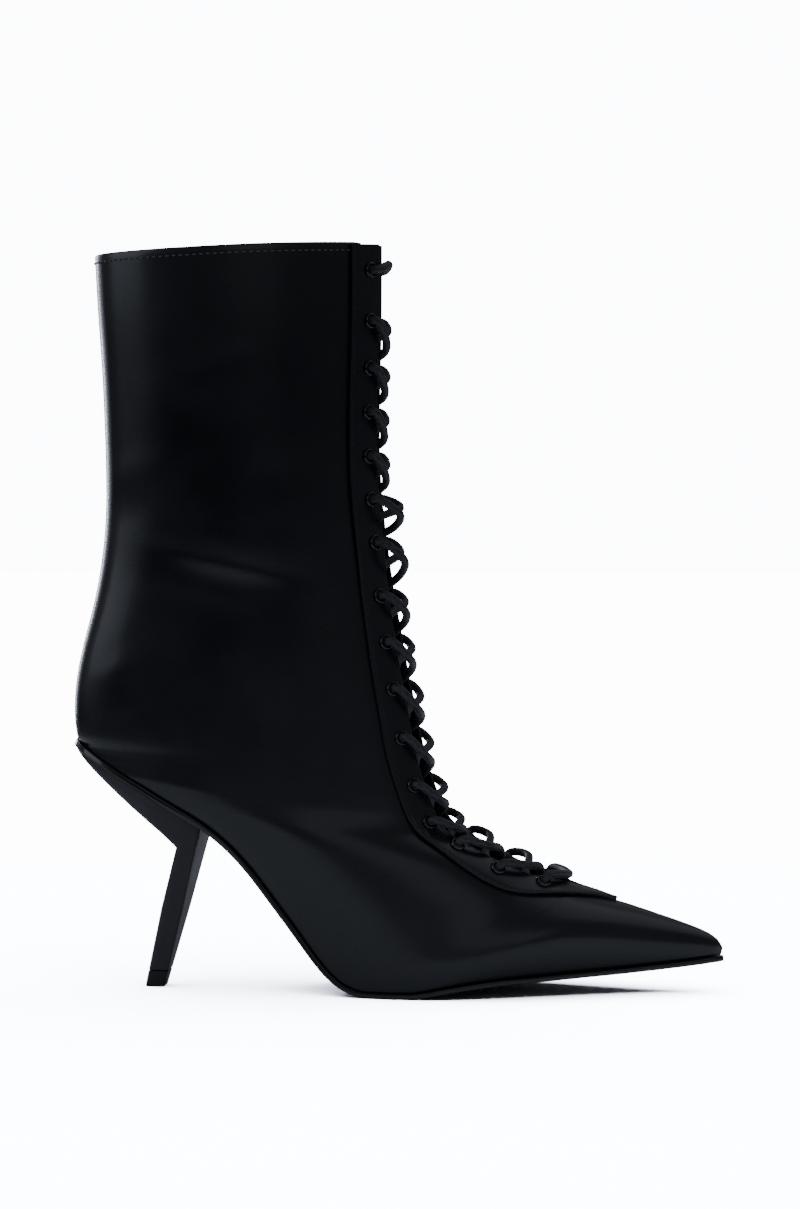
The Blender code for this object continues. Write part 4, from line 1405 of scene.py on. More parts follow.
@dataclass
class Lace:
    """The round braided cord that runs through all the eyelets."""

    last: Last
    diameter: float = 0.0032
    seat: float = 0.0004
    band: float = 0.0014
    rim: float = 0.0010
    around: int = 20
    step: float = 0.00046
    braid_pitch: float = 0.0042
    braid_strands: int = 4
    braid_depth: float = 0.016
    # Where a strand passes the band's edge, the ridge and the far edge, as shares of the
    # way to the next row, for a strand that leaves the outer and the inner side.
    over: tuple[float, float] = (0.36, 0.22)
    across: tuple[float, float] = (0.64, 0.42)
    under: tuple[float, float] = (0.86, 0.80)
    # How high it passes the ridge, in cord radii, so that the two strands clear each other.
    rise: tuple[float, float] = (1.9, -0.6)
    # Share of a loop's slack that also lifts its middle.
    slack_lift: float = 0.45
    # How far a strand leans over the band's edge, and its depth below the leather beyond
    # the ridge, in cord radii.
    overhang: float = 0.75
    dive: float = 1.3
    # A strand's place behind an eyelet and in front of it, in cord radii, and how far it
    # leans to the ridge there.
    behind: float = 1.5
    ahead: float = 0.95
    lean: float = 0.0010
    # The top and the bottom bar: rows beyond the last eyelets, and height in cord radii.
    top_bar: tuple[float, float] = (-0.10, 2.6)
    bottom_bar: tuple[float, float] = (0.60, 1.4)
    # Height of the two strands between the first two rows, in cord radii.
    first_legs: tuple[float, float] = (-1.0, -3.6)

    def middle(self, u: float, offset: float) -> np.ndarray:
        """A point between the band's two front edges, moved out by offset.

        Args:
            u: Place between the sections.
            offset: How far it is moved out.

        Returns:
            The point.
        """
        last = self.last
        way = max(last.gap(u), 0.001)
        heading = unit(last.normal(u, way) + last.normal(u, -way))
        edges = last.point(u, last.gap(u)) + last.point(u, -last.gap(u))
        return edges / 2 + heading * offset

    def crossing(self, start: Eyelet, end: Eyelet, slack: float) -> list[np.ndarray]:
        """The strand from outside one eyelet to inside the next one across.

        Args:
            start: The eyelet that the strand leaves.
            end: The eyelet that it goes to.
            slack: How far it stands off, in cord diameters.

        Returns:
            Three points between them.
        """
        last = self.last
        side = start.side
        span = end.u - start.u
        pick = 0 if side < 0 else 1
        radius = self.diameter / 2
        top = self.seat + self.band
        edge_u = start.u + self.over[pick] * span
        edge_way = side * (last.gap(edge_u) - self.overhang * radius)
        over = last.point(edge_u, edge_way) + last.normal(edge_u, edge_way) * (
            top + radius + slack * self.diameter)
        middle_u = start.u + self.across[pick] * span
        lift = self.slack_lift * slack * self.diameter if side < 0 else 0.0
        middle = self.middle(middle_u, self.rise[pick] * radius + lift)
        under_u = start.u + self.under[pick] * span
        under_way = -side * (last.gap(under_u) + radius)
        under = last.point(under_u, under_way) - last.normal(under_u, under_way) * (
            self.dive * radius)
        return [over, middle, under]

    def out_of(self, eyelet: Eyelet) -> list[np.ndarray]:
        """Points from behind an eyelet to just outside it.

        Args:
            eyelet: The eyelet.

        Returns:
            Three points.
        """
        radius = self.diameter / 2
        front = self.last.point(eyelet.u, eyelet.side * (
            self.last.eyelet_way(eyelet.u) - self.lean))
        top = self.seat + self.band + self.rim
        outside = front + eyelet.axis * (top + self.ahead * radius)
        return [eyelet.at(-self.behind * radius), eyelet.at(self.seat), outside]

    def route(self, rows: list[dict[int, Eyelet]]) -> list[np.ndarray]:
        """The cord's own points, a closed round from the top bar to the bottom bar.

        Args:
            rows: The eyelets.

        Returns:
            The points in order.
        """
        radius = self.diameter / 2

        def strand(side: int) -> list[np.ndarray]:
            """Run a strand from inside the second row down to outside the last row.

            Args:
                side: The side where it starts.

            Returns:
                The strand's points.
            """
            points: list[np.ndarray] = []
            for i in range(1, len(rows)):
                points += self.out_of(rows[i][side])
                if i < len(rows) - 1:
                    slack = SLACK[i][0 if side < 0 else 1]
                    points += self.crossing(rows[i][side], rows[i + 1][-side], slack)
                side = -side
            return points

        top, bottom = rows[0], rows[-1]
        lift = self.middle(top[1].u + self.top_bar[0], self.top_bar[1] * radius)
        bar = self.middle(bottom[1].u + self.bottom_bar[0],
                          self.seat + self.band + self.bottom_bar[1] * radius)
        points = self.out_of(top[-1]) + [lift] + list(reversed(self.out_of(top[1])))
        middle_u = (top[1].u + rows[1][1].u) / 2
        points.append(self.middle(middle_u, self.first_legs[0] * radius))
        points += strand(-1)
        points.append(bar)
        points += reversed(strand(1))
        points.append(self.middle(middle_u, self.first_legs[1] * radius))
        return points

    def smooth(self, points: list[np.ndarray]) -> np.ndarray:
        """A closed smooth path in even steps through the points.

        Args:
            points: The route's points.

        Returns:
            The path.
        """
        ring = np.array(points)
        ends = np.roll(ring, -1, axis=0)
        before, after = np.roll(ring, 1, axis=0), np.roll(ring, -2, axis=0)
        lengths = np.sqrt(np.linalg.norm(ends - ring, axis=1))
        lead = np.roll(lengths, 1)
        tail = np.roll(lengths, -1)
        path = []
        for i in range(len(ring)):
            p0, p1, p2, p3 = before[i], ring[i], ends[i], after[i]
            d1, d2, d3 = lead[i], lengths[i], tail[i]
            m1 = (p1 - p0) / d1 - (p2 - p0) / (d1 + d2) + (p2 - p1) / d2
            m2 = (p2 - p1) / d2 - (p3 - p1) / (d2 + d3) + (p3 - p2) / d3
            m1, m2 = m1 * d2, m2 * d2
            for t in np.linspace(0, 1, 24, endpoint=False):
                path.append(p1 * (2 * t ** 3 - 3 * t ** 2 + 1) + m1 * (t ** 3 - 2 * t ** 2 + t)
                            + p2 * (3 * t ** 2 - 2 * t ** 3) + m2 * (t ** 3 - t ** 2))
        dense = np.array(path + path[:1])
        legs = np.linalg.norm(np.diff(dense, axis=0), axis=1)
        ways = np.concatenate(([0.0], np.cumsum(legs)))
        count = int(ways[-1] / self.step)
        even = np.linspace(0, ways[-1], count, endpoint=False)
        line = np.stack([np.interp(even, ways, dense[:, k]) for k in range(3)], axis=-1)
        for _ in range(4):
            line = (np.roll(line, 1, axis=0) + 2 * line + np.roll(line, -1, axis=0)) / 4
        return line

    def build(self, rows: list[dict[int, Eyelet]]) -> bpy.types.Object:
        """Make the cord with its braid in relief.

        Args:
            rows: The eyelets.

        Returns:
            The cord.
        """
        line = self.smooth(self.route(rows))
        ahead = unit(np.roll(line, -1, axis=0) - np.roll(line, 1, axis=0))
        side = np.zeros_like(line)
        side[0] = unit(np.cross(ahead[0], (0.0, 0.0, 1.0)))
        for i in range(1, len(line)):
            side[i] = unit(side[i - 1] - ahead[i] * np.dot(side[i - 1], ahead[i]))
        up = np.cross(ahead, side)
        turn = np.arange(self.around) * 2 * math.pi / self.around
        along = np.arange(len(line)) * self.step
        wave = 2 * math.pi * along[:, None] / self.braid_pitch
        right = np.cos(self.braid_strands * turn[None, :] + wave)
        left = np.cos(self.braid_strands * turn[None, :] - wave)
        relief = 1 + self.braid_depth * (np.maximum(right, left) - 0.5)
        radius = self.diameter / 2 * relief
        points = (line[:, None, :] + side[:, None, :] * (radius * np.cos(turn))[..., None]
                  + up[:, None, :] * (radius * np.sin(turn))[..., None])
        rings, around = points.shape[:2]
        faces = []
        for i in range(rings):
            n = (i + 1) % rings
            for j in range(around):
                m = (j + 1) % around
                faces.append((i * around + j, i * around + m, n * around + m, n * around + j))
        piece = new_object("lace_cord", points.reshape(-1, 3), faces, sharp=180.0)
        # The braid's relief as an attribute, which the cord's finish turns into painted shade in
        # the gaps and painted highlight on the crowns.
        shade = piece.data.attributes.new("groove", "FLOAT", "POINT")
        depth = (np.maximum(right, left) + 1) / 2
        shade.data.foreach_set("value", depth.astype(np.float32).ravel())
        return piece


@dataclass
class Tongue:
    """The tongue behind the throat."""

    last: Last
    thickness: float = 0.0014
    overlap: float = 0.0110
    top_drop: float = 0.0030

    def build(self) -> bpy.types.Object:
        """Make the tongue.

        Returns:
            Its object.
        """
        sheet = Sheet()
        last = self.last
        drop = self.top_drop / (last.shaft_rise * (SECTIONS[0][2] - SECTIONS[1][2]))
        rings = places(((drop, 4, 34), (4, 10, 42), (10, 18.5, 66)))
        for side in Side:
            rows = []
            for u in rings:
                half = last.gap(u) + self.overlap
                points = last.cut(u, side.value, True).at_ways(np.linspace(0, half, 15))
                row = []
                for i, point in enumerate(points):
                    edge = i == 14 or u == rings[0]
                    rim = self.thickness / 2 if edge else 0.0
                    row.append(sheet.add(point, 0.0, -self.thickness, rim))
                rows.append(row)
            sheet.add_grid(rows, side is Side.INNER)
        return sheet.solid("tongue_leather")


@dataclass
class Bottom:
    """The sole, the insole, the covered heel, its top piece and the stud."""

    last: Last
    edge: float = 0.0008
    edge_bevel: float = 0.0006
    insole_thickness: float = 0.0015
    insole_bevel: float = 0.0004
    tip_back: float = -0.3910
    tip_depth: float = 0.0078
    tip_width: float = 0.0090
    breast_width: float = 0.0370
    top_back: float = -0.4990
    top_front: float = -0.2940
    top_piece: float = 0.0065
    stud_x: float = -0.2170
    stud_radius: float = 0.0045
    stud_height: float = 0.0015
    # The heel: radius of its breast's corners, where its rounded tail starts and how long
    # it is as shares of the depth, how much the sides narrow, and how round the tail is.
    corner: float = 0.0007
    tail_at: float = 0.86
    tail_run: float = 0.14
    taper: float = 0.25
    tail_round: float = 0.72
    # The bevel under the top piece, the one over it, and a height between them.
    tread_bevel: float = 0.0004
    seat_bevel: float = 0.0003
    tip_middle: float = 0.003

    def sheet_loops(self, grow: float, low: float, high: float, bevel: float) -> np.ndarray:
        """Loops round a sheet that follows the sole between two levels.

        Args:
            grow: How far it stands out from the feather edge.
            low: Level of its underside.
            high: Level of its upper face.
            bevel: Radius of its edges.

        Returns:
            Points by station, by place round the sheet.
        """
        last = self.last
        start = FEATHER[0][0] - grow / last.length
        end = FEATHER[-1][0] + grow / last.length
        middle, half = (start + end) / 2, (end - start) / 2
        shares = middle - half * np.cos(np.linspace(0.012, math.pi - 0.012, 190))
        across = np.linspace(-1, 1, 13)[1:-1]
        arc = np.linspace(0, math.pi / 2, 5)
        loops = []
        for share in shares:
            outer = -float(last.outline(share, -1, grow))
            inner = float(last.outline(share, 1, grow))
            round_by = min(bevel, max((inner - outer) * 0.3, 0.00002))
            centre, width = (outer + inner) / 2, (inner - outer) / 2 - round_by
            left = [(outer + round_by * (1 - math.cos(k)), low + round_by * (1 - math.sin(k)))
                    for k in arc]
            right = [(inner - round_by * (1 - math.sin(k)), low + round_by * (1 - math.cos(k)))
                     for k in arc]
            top_right = [(inner - round_by * (1 - math.cos(k)),
                          high - round_by * (1 - math.sin(k))) for k in arc]
            top_left = [(outer + round_by * (1 - math.sin(k)),
                         high - round_by * (1 - math.cos(k))) for k in arc]
            under = [(centre + width * a, low) for a in across]
            over = [(centre + width * a, high) for a in across[::-1]]
            line = left + under + right + top_right + over + top_left
            points = [last.sole_points(share, level, y) for y, level in line]
            loops.append(points)
        return np.array(loops)

    def outsole(self) -> bpy.types.Object:
        """Make the outsole."""
        loops = self.sheet_loops(self.edge, 0.0, self.last.sole_thickness, self.edge_bevel)
        return loft("outsole_edge", loops, sharp=60.0)

    def insole(self) -> bpy.types.Object:
        """Make the insole.

        Returns:
            The insole.
        """
        last = self.last
        low = last.sole_thickness + last.clearance
        grow = -(last.wall + 2 * last.clearance)
        high = low + self.insole_thickness
        loops = self.sheet_loops(grow, low, high, self.insole_bevel)
        return loft("insole_sock", loops[3:-3], sharp=60.0)

    def heel_loop(self, back: np.ndarray, front: np.ndarray, half: float,
                  seat: float) -> np.ndarray:
        """A loop of the heel: flat at the breast, rounded at the back.

        Args:
            back: The loop's back point.
            front: The loop's breast point.
            half: Half its width at the breast.
            seat: How far its sides follow the seat's outline.

        Returns:
            The loop's points.
        """
        last = self.last
        turn = np.linspace(0, math.pi / 2, 9)[1:]
        shares = np.concatenate((np.linspace(0, 0.08, 5),
                                 np.linspace(0.08, self.tail_at, 14)[1:],
                                 1 - self.tail_run * np.cos(turn)))
        depth = float(np.linalg.norm(front - back))
        rows = {}
        for side in (-1, 1):
            row = []
            for s in shares:
                here = front + (back - front) * s
                edge = max(float(last.outline(here[0] / last.length, side, 0.0)), self.edge)
                tail = max(s - self.tail_at, 0.0) / self.tail_run
                post = half * (1 - self.taper * s ** 8)
                post *= math.sqrt(max(1 - self.tail_round * tail ** 2, 0.0))
                near = min((front[0] - here[0]) / self.breast_width * 2, 1.0)
                y = post + (edge - post) * near * seat
                bite = max(1 - s * depth / self.corner, 0.0)
                y -= self.corner * (1 - math.sqrt(1 - bite ** 2))
                row.append((here[0], side * y, here[2]))
            rows[side] = row
        inner = rows[1][::-1]
        breast = [(front[0], y, front[2]) for y in np.linspace(rows[1][0][1], rows[-1][0][1], 7)]
        return np.array(rows[-1] + inner + breast[1:-1])

    def tip(self, height: float) -> tuple[np.ndarray, np.ndarray, float]:
        """Find the slanted post's section at a height.

        Args:
            height: Height over the floor.

        Returns:
            Its back point, its front point and its half width.
        """
        last = self.last
        back_x, back_z, front_x, _, width, _ = HEEL_SECTIONS[0]
        share = height / (back_z * last.heel_height)
        tip_front = self.tip_back + self.tip_depth / last.length
        back = self.tip_back + (back_x - self.tip_back) * share
        front = tip_front + (front_x - tip_front) * share
        wide = self.tip_width + (self.breast_width - self.tip_width) * width * share
        return (np.array((back * last.length, 0.0, height)),
                np.array((front * last.length, 0.0, height)), wide / 2)

    def heel(self) -> bpy.types.Object:
        """Make the covered heel.

        Returns:
            The heel.
        """
        last = self.last
        rows = []
        for height in np.linspace(self.top_piece + last.clearance,
                                  HEEL_SECTIONS[0][1] * last.heel_height, 10)[:-1]:
            back, front, half = self.tip(height)
            rows.append(self.heel_loop(back, front, half, 0.0))
        table = np.array(HEEL_SECTIONS)
        top_back = last.sole_points(self.top_back, -last.clearance)
        top_front = last.sole_points(self.top_front, -last.clearance)
        top_row = (self.top_back, top_back[2] / last.heel_height, self.top_front,
                   top_front[2] / last.heel_height, 1.0, 1.0)
        table = np.vstack((table, top_row))
        order = np.arange(len(table), dtype=float)
        for place in np.linspace(0, len(table) - 1, 46):
            value = [float(np.interp(place, order, table[:, k])) for k in range(6)]
            back = np.array((value[0] * last.length, 0.0, value[1] * last.heel_height))
            front = np.array((value[2] * last.length, 0.0, value[3] * last.heel_height))
            width = self.tip_width + (self.breast_width - self.tip_width) * value[4]
            loop = self.heel_loop(back, front, width / 2, value[5])
            ceiling = last.sole_points(loop[:, 0] / last.length, -last.clearance)[:, 2]
            if place == len(table) - 1:
                loop[:, 2] = ceiling
            loop[:, 2] = np.minimum(loop[:, 2], ceiling)
            rows.append(loop)
        return loft("heel_cover", np.array(rows), sharp=38.0)

    def heel_tip(self) -> bpy.types.Object:
        """Make the top piece.

        Returns:
            The top piece.
        """
        rows = []
        for height, inset in ((0.0, self.tread_bevel), (self.tread_bevel, 0.0),
                              (self.tip_middle, 0.0),
                              (self.top_piece - self.seat_bevel, 0.0),
                              (self.top_piece, self.seat_bevel)):
            back, front, half = self.tip(height)
            back = back + np.array((inset, 0.0, 0.0))
            front = front - np.array((inset, 0.0, 0.0))
            rows.append(self.heel_loop(back, front, half - inset, 0.0))
        return loft("heel_top_piece", np.array(rows), sharp=30.0)

    def stud(self) -> bpy.types.Object:
        """Make the low dome on the waist, with its rim.

        Returns:
            The stud.
        """
        last = self.last
        down = -last.sole_normal(self.stud_x)
        seat = last.sole_points(self.stud_x, -2 * last.clearance)
        right = np.array((0.0, 1.0, 0.0))
        ahead = unit(np.cross(right, down))
        profile = ((0.0, 0.0), (0.0, 0.35), (0.03, 0.5), (0.10, 0.55), (0.15, 0.42),
                   (0.18, 0.42), (0.24, 0.62), (0.42, 0.82), (0.65, 0.95), (0.9, 1.0))
        around = np.linspace(0, 2 * math.pi, 36, endpoint=False)
        loops = []
        for inset, height in profile:
            radius = self.stud_radius * (1 - inset)
            loops.append([seat + ahead * radius * math.cos(a) + right * radius * math.sin(a)
                          + down * self.stud_height * height for a in around])
        return loft("waist_stud_dome", np.array(loops), sharp=50.0)


def linear(color: str) -> tuple[float, float, float, float]:
    """Turn an sRGB hex colour into linear light.

    Args:
        color: Six hex digits after a hash.

    Returns:
        Red, green, blue and alpha.
    """
    parts = [int(color[i:i + 2], 16) / 255 for i in (1, 3, 5)]
    lit = [p / 12.92 if p <= 0.04045 else ((p + 0.055) / 1.055) ** 2.4 for p in parts]
    return (lit[0], lit[1], lit[2], 1.0)


@dataclass(frozen=True)
class Finish:
    """What every finish shares: its name, its two colours and its roughness."""

    name: str
    light: str
    dark: str
    rough: float
    uneven: float = 0.06
    patch: float = 0.030

    def start(self) -> tuple[bpy.types.Material, bpy.types.NodeTree, bpy.types.Node,
                             bpy.types.NodeSocket]:
        """Start the material with clouded colour and clouded roughness.

        Returns:
            The material, its tree, its shader and the object coordinates.
        """
        made = bpy.data.materials.new(self.name)
        made.use_nodes = True
        tree = made.node_tree
        shader = tree.nodes["Principled BSDF"]
        place = add_node(tree, "ShaderNodeTexCoord").outputs["Object"]
        cloud = add_node(tree, "ShaderNodeTexNoise",
                         {"Vector": place, "Scale": 1 / self.patch, "Detail": 4.0})
        tint = add_node(tree, "ShaderNodeMix", {0: cloud.outputs[0], 6: linear(self.dark),
                                                7: linear(self.light)}, data_type="RGBA")
        tree.links.new(tint.outputs[2], shader.inputs["Base Color"])
        gloss = add_node(tree, "ShaderNodeMapRange",
                         {0: cloud.outputs[0], 1: 0.3, 2: 0.7, 3: self.rough - self.uneven,
                          4: self.rough + self.uneven})
        tree.links.new(gloss.outputs[0], shader.inputs["Roughness"])
        return made, tree, shader, place

    def bump(self, tree: bpy.types.NodeTree, shader: bpy.types.Node,
             height: bpy.types.NodeSocket, depth: float) -> None:
        """Press a height pattern into the surface.

        Args:
            tree: The material's tree.
            shader: Its shader.
            height: The pattern.
            depth: Depth in metres of a height of one.
        """
        pressed = add_node(tree, "ShaderNodeBump", {"Height": height, "Distance": depth,
                                                    "Strength": 1.0})
        tree.links.new(pressed.outputs["Normal"], shader.inputs["Normal"])


@dataclass(frozen=True)
class Leather(Finish):
    """Finished calf: fine pores and hair cells under a thin polished coat."""

    grain: float = 0.0009
    grain_depth: float = 0.000035
    coat: float = 0.35
    coat_rough: float = 0.20
    index: float = 1.48

    def material(self) -> bpy.types.Material:
        """Make the leather.

        Returns:
            Its material.
        """
        made, tree, shader, place = self.start()
        cells = add_node(tree, "ShaderNodeTexVoronoi",
                         {"Vector": place, "Scale": 1 / self.grain}, feature="SMOOTH_F1")
        pull = add_node(tree, "ShaderNodeTexNoise",
                        {"Vector": place, "Scale": 1 / (self.grain * 6), "Detail": 3.0})
        height = add_node(tree, "ShaderNodeMath",
                          {0: cells.outputs["Distance"], 1: pull.outputs[0]},
                          operation="MULTIPLY_ADD")
        height.inputs[2].default_value = 0.2
        shader.inputs["Coat Weight"].default_value = self.coat
        shader.inputs["Coat Roughness"].default_value = self.coat_rough
        shader.inputs["IOR"].default_value = self.index
        self.bump(tree, shader, height.outputs[0], self.grain_depth)
        return made


@dataclass(frozen=True)
class Lacquer(Finish):
    """A smooth hard coat, such as edge ink, enamel or polished plate."""

    metal: float = 0.0
    coat: float = 0.6
    coat_rough: float = 0.08
    ripple: float = 0.004
    ripple_depth: float = 0.00003

    def material(self) -> bpy.types.Material:
        """Make the coat.

        Returns:
            Its material.
        """
        made, tree, shader, place = self.start()
        wave = add_node(tree, "ShaderNodeTexNoise",
                        {"Vector": place, "Scale": 1 / self.ripple, "Detail": 2.0})
        shader.inputs["Metallic"].default_value = self.metal
        shader.inputs["Coat Weight"].default_value = self.coat
        shader.inputs["Coat Roughness"].default_value = self.coat_rough
        self.bump(tree, shader, wave.outputs[0], self.ripple_depth)
        return made


@dataclass(frozen=True)
class Cord(Finish):
    """Waxed braided cotton with fine fibres, its colour darkened as painted shade in the braid's
    gaps and lightened as painted highlight on its crowns.
    """

    fibre: float = 0.00035
    fibre_depth: float = 0.00003
    sheen: float = 0.25
    sheen_rough: float = 0.4

    def material(self) -> bpy.types.Material:
        """Make the cord's finish.

        Returns:
            Its material.
        """
        made, tree, shader, place = self.start()
        # Painted shade and highlight: the colour runs from the dark colour in the braid's gaps
        # to the light one on its crowns.
        groove = add_node(tree, "ShaderNodeAttribute", attribute_name="groove")
        shade = add_node(tree, "ShaderNodeMapRange",
                         {0: groove.outputs["Fac"], 1: 0.2, 2: 0.9, 3: 0.0, 4: 1.0})
        tint = add_node(tree, "ShaderNodeMix", {0: shade.outputs[0], 6: linear(self.dark),
                                                7: linear(self.light)}, data_type="RGBA")
        tree.links.new(tint.outputs[2], shader.inputs["Base Color"])
        hairs = add_node(tree, "ShaderNodeTexNoise",
                         {"Vector": place, "Scale": 1 / self.fibre, "Detail": 3.0})
        shader.inputs["Sheen Weight"].default_value = self.sheen
        shader.inputs["Sheen Roughness"].default_value = self.sheen_rough
        self.bump(tree, shader, hairs.outputs[0], self.fibre_depth)
        return made


@dataclass(frozen=True)
class Plain(Finish):
    """A matt body colour with a fine tooth, such as rubber or sock leather."""

    tooth: float = 0.0006
    tooth_depth: float = 0.00004

    def material(self) -> bpy.types.Material:
        """Make the matt finish.

        Returns:
            Its material.
        """
        made, tree, shader, place = self.start()
        grit = add_node(tree, "ShaderNodeTexNoise",
                        {"Vector": place, "Scale": 1 / self.tooth, "Detail": 4.0})
        self.bump(tree, shader, grit.outputs[0], self.tooth_depth)
        return made


# Polished calf of the upper: near black, with a broad soft sheen.
UPPER_LEATHER = Leather("polished_calf_leather", "#0d1119", "#080b12", 0.34)
# The same calf, cut for the band and worked over its folded edges.
BAND_LEATHER = Leather("folded_calf_leather", "#0f131b", "#0a0d14", 0.34, grain=0.0008)
# Kid lining: duller and finer than the outside.
LINING_LEATHER = Leather("kid_lining_leather", "#1c1c1e", "#151517", 0.55, coat=0.0,
                         grain=0.0007)
TONGUE_LEATHER = Leather("soft_kid_leather", "#0f1012", "#0a0b0d", 0.5, coat=0.05)
# Wrapped heel: a charcoal calf without the polish.
HEEL_LEATHER = Leather("matt_wrapped_calf", "#343238", "#2a292e", 0.5, coat=0.05,
                       grain=0.0006)
SOCK_LEATHER = Plain("sock_leather", "#242423", "#1b1b1a", 0.65)
TOP_RUBBER = Plain("hard_rubber", "#141414", "#0d0d0d", 0.5)
# Edge ink over the sole's leather: smooth, black and glossy.
SOLE_INK = Lacquer("edge_ink_lacquer", "#0c0c0d", "#080809", 0.22, coat=0.5)
ENAMEL = Lacquer("black_enamel_on_brass", "#0b0b0c", "#070708", 0.12, uneven=0.03, coat=0.9)
NICKEL = Lacquer("polished_nickel", "#d9d8d6", "#c9c8c6", 0.16, uneven=0.04, metal=1.0,
                 coat=0.0)
# Lace cord: its light colour is the painted highlight on the braid's crowns, its dark colour the
# painted shade in the gaps.
WAXED_CORD = Cord("waxed_cotton_cord", "#3b3c41", "#26272b", 0.5)
THREAD = Cord("waxed_thread", "#24262b", "#17181b", 0.45)
# Collar thread painted pale: a painted highlight in its colour, for the light dots that its
# stitches show.
PAINTED_HIGHLIGHT_THREAD = Cord("grey_waxed_thread", "#7c7f86", "#55585e", 0.45)


@dataclass(frozen=True)
class Lamp:
    """A soft box: where it stands, its width and height, and its power in watts."""

    name: str
    place: tuple[float, float, float]
    size: tuple[float, float]
    power: float


# A window to the left of the boot, a strip behind it for the back edge, and two fills.
LAMPS = (
    Lamp("window_left", (-1.6, -0.45, 0.9), (1.3, 1.4), 5.5),
    Lamp("strip_back", (-0.95, 1.1, 0.4), (0.10, 1.0), 6.0),
    Lamp("overhead", (0.9, 0.5, 1.5), (1.6, 1.2), 1.8),
    Lamp("front_fill", (0.4, -1.7, 1.0), (1.6, 1.0), 1.5),
)


@dataclass
class Studio:
    """The pale floor, the soft lights and the camera."""

    target: tuple[float, float, float] = (0.001, 0.0, 0.1486)
    azimuth: float = 6.0
    elevation: float = 2.0
    distance: float = 1.5
    lens: float = 115.8
    sensor: float = 36.0
    # What the camera sees of the room round the boot, and the light that the room gives.
    backdrop: float = 14.0
    room: float = 0.13
    # The board under the boot: how white it is to the camera, how much it gives back to the
    # boot, and how far it reaches before it runs into the backdrop.
    white: float = 0.98
    bounce: float = 0.03
    board_reach: float = 0.35
    daylight: tuple[float, float, float] = (0.80, 0.87, 1.0)
    middle: tuple[float, float, float] = (0.0, 0.0, 0.14)
    wash: float = 3400.0

    def floor(self) -> bpy.types.Object:
        """Make the floor.

        Returns:
            The floor.
        """
        reach = 6.0
        verts = ((-reach, -reach, 0.0), (reach, -reach, 0.0), (reach, reach, 0.0),
                 (-reach, reach, 0.0))
        made = loose_mesh("floor", verts, [(0, 1, 2, 3)])
        paint = bpy.data.materials.new("white_studio_board")
        paint.use_nodes = True
        tree = paint.node_tree
        board = add_node(tree, "ShaderNodeBsdfDiffuse",
                         {"Color": self.seen_only(tree, self.white, self.bounce)})
        beyond = add_node(tree, "ShaderNodeEmission",
                          {"Strength": self.seen_only(tree, self.backdrop)})
        place = add_node(tree, "ShaderNodeTexCoord")
        away = add_node(tree, "ShaderNodeVectorMath", {0: place.outputs["Object"]},
                        operation="LENGTH")
        share = add_node(tree, "ShaderNodeMapRange",
                         {0: away.outputs["Value"], 1: self.board_reach,
                          2: 2 * self.board_reach}, interpolation_type="SMOOTHSTEP")
        both = add_node(tree, "ShaderNodeMixShader", {0: share.outputs[0],
                                                      1: board.outputs[0],
                                                      2: beyond.outputs[0]})
        tree.links.new(both.outputs[0], tree.nodes["Material Output"].inputs["Surface"])
        made.data.materials.append(paint)
        return made

    def seen_only(self, tree: bpy.types.NodeTree, seen: float,
                  unseen: float = 0.0) -> bpy.types.NodeSocket:
        """A strength for what is seen directly, and another for all other light.

        Args:
            tree: The stage's tree.
            seen: Strength where the backdrop itself is seen.
            unseen: Strength of the light that it gives.

        Returns:
            The strength's socket.
        """
        path = add_node(tree, "ShaderNodeLightPath")
        scaled = add_node(tree, "ShaderNodeMapRange",
                          {0: path.outputs["Is Camera Ray"], 3: unseen, 4: seen})
        return scaled.outputs[0]

    def light(self, lamp: Lamp) -> bpy.types.Object:
        """Add a soft box that looks at the boot's middle.

        Args:
            lamp: Its place, size and power.

        Returns:
            The light.
        """
        data = bpy.data.lights.new(lamp.name, "AREA")
        data.shape = "RECTANGLE"
        data.size, data.size_y = lamp.size
        data.energy = lamp.power
        data.color = self.daylight
        made = bpy.data.objects.new(lamp.name, data)
        made.location = lamp.place
        heading = Vector(self.middle) - Vector(lamp.place)
        made.rotation_euler = heading.to_track_quat("-Z", "Y").to_euler()
        bpy.context.collection.objects.link(made)
        return made

    def lights(self, floor: bpy.types.Object) -> None:
        """Set the lights and the pale surroundings.

        Args:
            floor: The floor, which has a wash of its own.
        """
        for lamp in LAMPS:
            self.light(lamp)
        wash = self.light(Lamp("floor_wash", (0.0, 0.0, 3.0), (6.0, 6.0), self.wash))
        only = bpy.data.collections.new("floor_only")
        only.objects.link(floor)
        wash.light_linking.receiver_collection = only
        world = bpy.data.worlds.new("pale_room")
        world.use_nodes = True
        sky = world.node_tree.nodes["Background"]
        sky.inputs["Color"].default_value = linear("#f0f3ff")
        tree = world.node_tree
        tree.links.new(self.seen_only(tree, self.backdrop, self.room),
                       sky.inputs["Strength"])
        bpy.context.scene.world = world

    def camera(self) -> bpy.types.Object:
        """Make the camera at the photograph's angle.

        Returns:
            The camera.
        """
        azimuth, elevation = math.radians(self.azimuth), math.radians(self.elevation)
        away = Vector((math.sin(azimuth) * math.cos(elevation),
                       -math.cos(azimuth) * math.cos(elevation), math.sin(elevation)))
        data = bpy.data.cameras.new("camera")
        data.sensor_fit = "VERTICAL"
        data.sensor_height = self.sensor
        data.lens = self.lens
        camera = bpy.data.objects.new("camera", data)
        camera.location = Vector(self.target) + away * self.distance
        camera.rotation_euler = (-away).to_track_quat("-Z", "Y").to_euler()
        bpy.context.collection.objects.link(camera)
        bpy.context.scene.camera = camera
        return camera


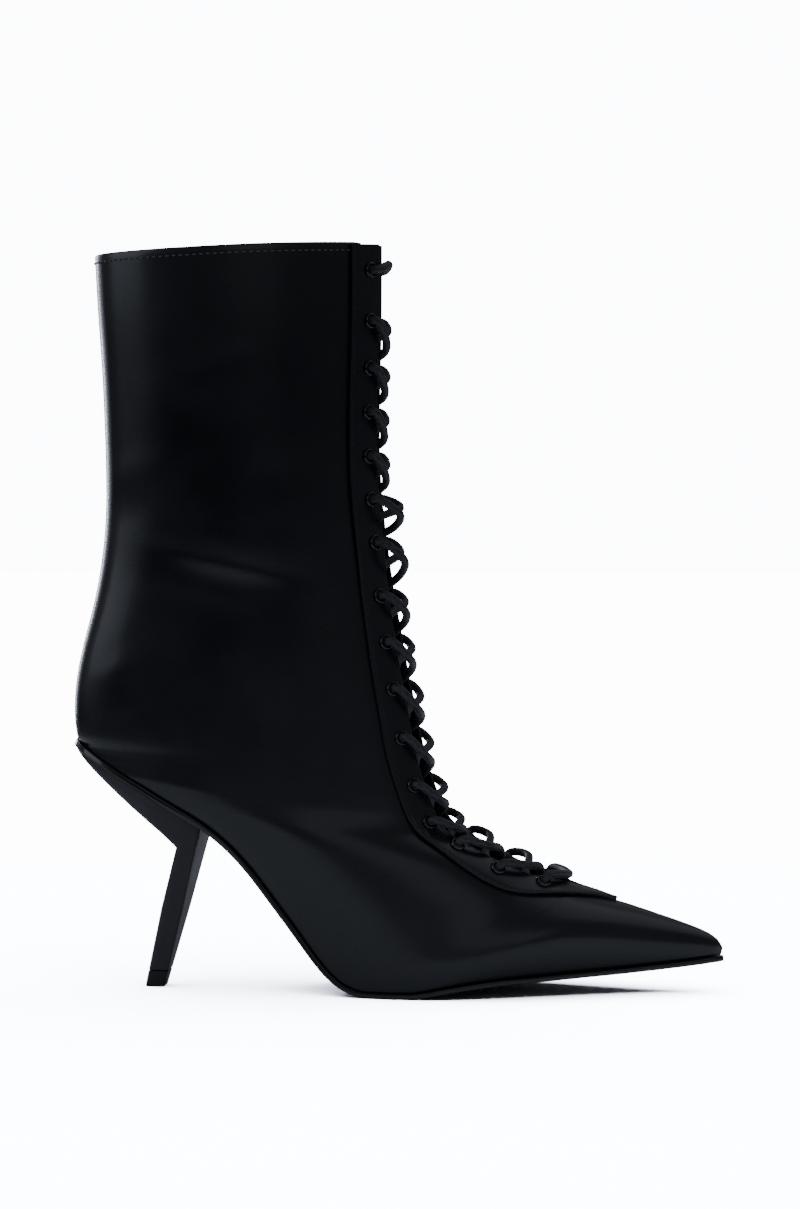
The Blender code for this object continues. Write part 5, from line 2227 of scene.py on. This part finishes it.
def main() -> None:
    """Build and dress every piece."""
    logging.basicConfig(level=logging.INFO, format="%(message)s")
    last = Last()
    rows = seat_eyelets(last)
    eyelets = [row[side] for row in rows for side in (-1, 1)]
    studio = Studio()
    studio.camera()

    upper = Shell(last).build()
    upper.data.materials.append(UPPER_LEATHER.material())
    upper.data.materials.append(LINING_LEATHER.material())
    settle(upper, "upper_leather", upper.data.materials[0], "upper")
    band = EyeletBand(last).build(eyelets)
    band.data.materials.clear()
    settle(band, "band_leather", BAND_LEATHER.material(), "eyestay")
    settle(Tongue(last).build(), "tongue_leather", TONGUE_LEATHER.material(), "tongue")

    bottom = Bottom(last)
    sole_ink = SOLE_INK.material()
    settle(bottom.insole(), "insole_leather", SOCK_LEATHER.material(), "insole")
    settle(bottom.outsole(), "sole_lacquer", sole_ink, "outsole")
    settle(bottom.heel(), "heel_cover", HEEL_LEATHER.material(), "heel")
    settle(bottom.heel_tip(), "top_piece_rubber", TOP_RUBBER.material(), "top_piece")
    settle(bottom.stud(), "stud_metal", NICKEL.material(), "waist_stud")

    lace = Lace(last).build(rows)
    settle(lace, "lace_cord", WAXED_CORD.material(), "lace")

    seats = repeat_tree("set_rings", False)
    enamel = ENAMEL.material()
    rings = EyeletRings().build(eyelets, enamel, seats)
    names = [f"eyelet_{word}_{number:02d}" for number in range(1, len(rows) + 1)
             for word in ("outer", "inner")]
    settle(rings, "eyelet_enamel", enamel, *names)

    thread = THREAD.material()
    walk = repeat_tree("walk_stitches", True)
    seams = Seams(last)
    collar_seams = Seams(last, radius=COLLAR_THREAD_RADIUS)
    # The collar's stitches take the pale thread, whose colour is a painted highlight.
    highlight_thread = PAINTED_HIGHLIGHT_THREAD.material()
    top = EyeletBand(last).seat + EyeletBand(last).thickness - THREAD_SINK
    for side, word in ((-1, "outer"), (1, "inner")):
        for rear, edge in ((True, "rear"), (False, "front")):
            points, facing = seams.band_line(side, rear, seams.edge_inset, top)
            row = seams.row(f"stitches_band_{edge}_{word}", points, facing, thread, walk)
            settle(row, "band_leather", thread)
        points, facing = seams.collar_line(side, seams.collar_drop)
        row = collar_seams.row(f"stitches_collar_{word}", points, facing, highlight_thread, walk)
        settle(row, "upper_leather", highlight_thread)

    studio.lights(studio.floor())


if __name__ == "__main__":
    main()
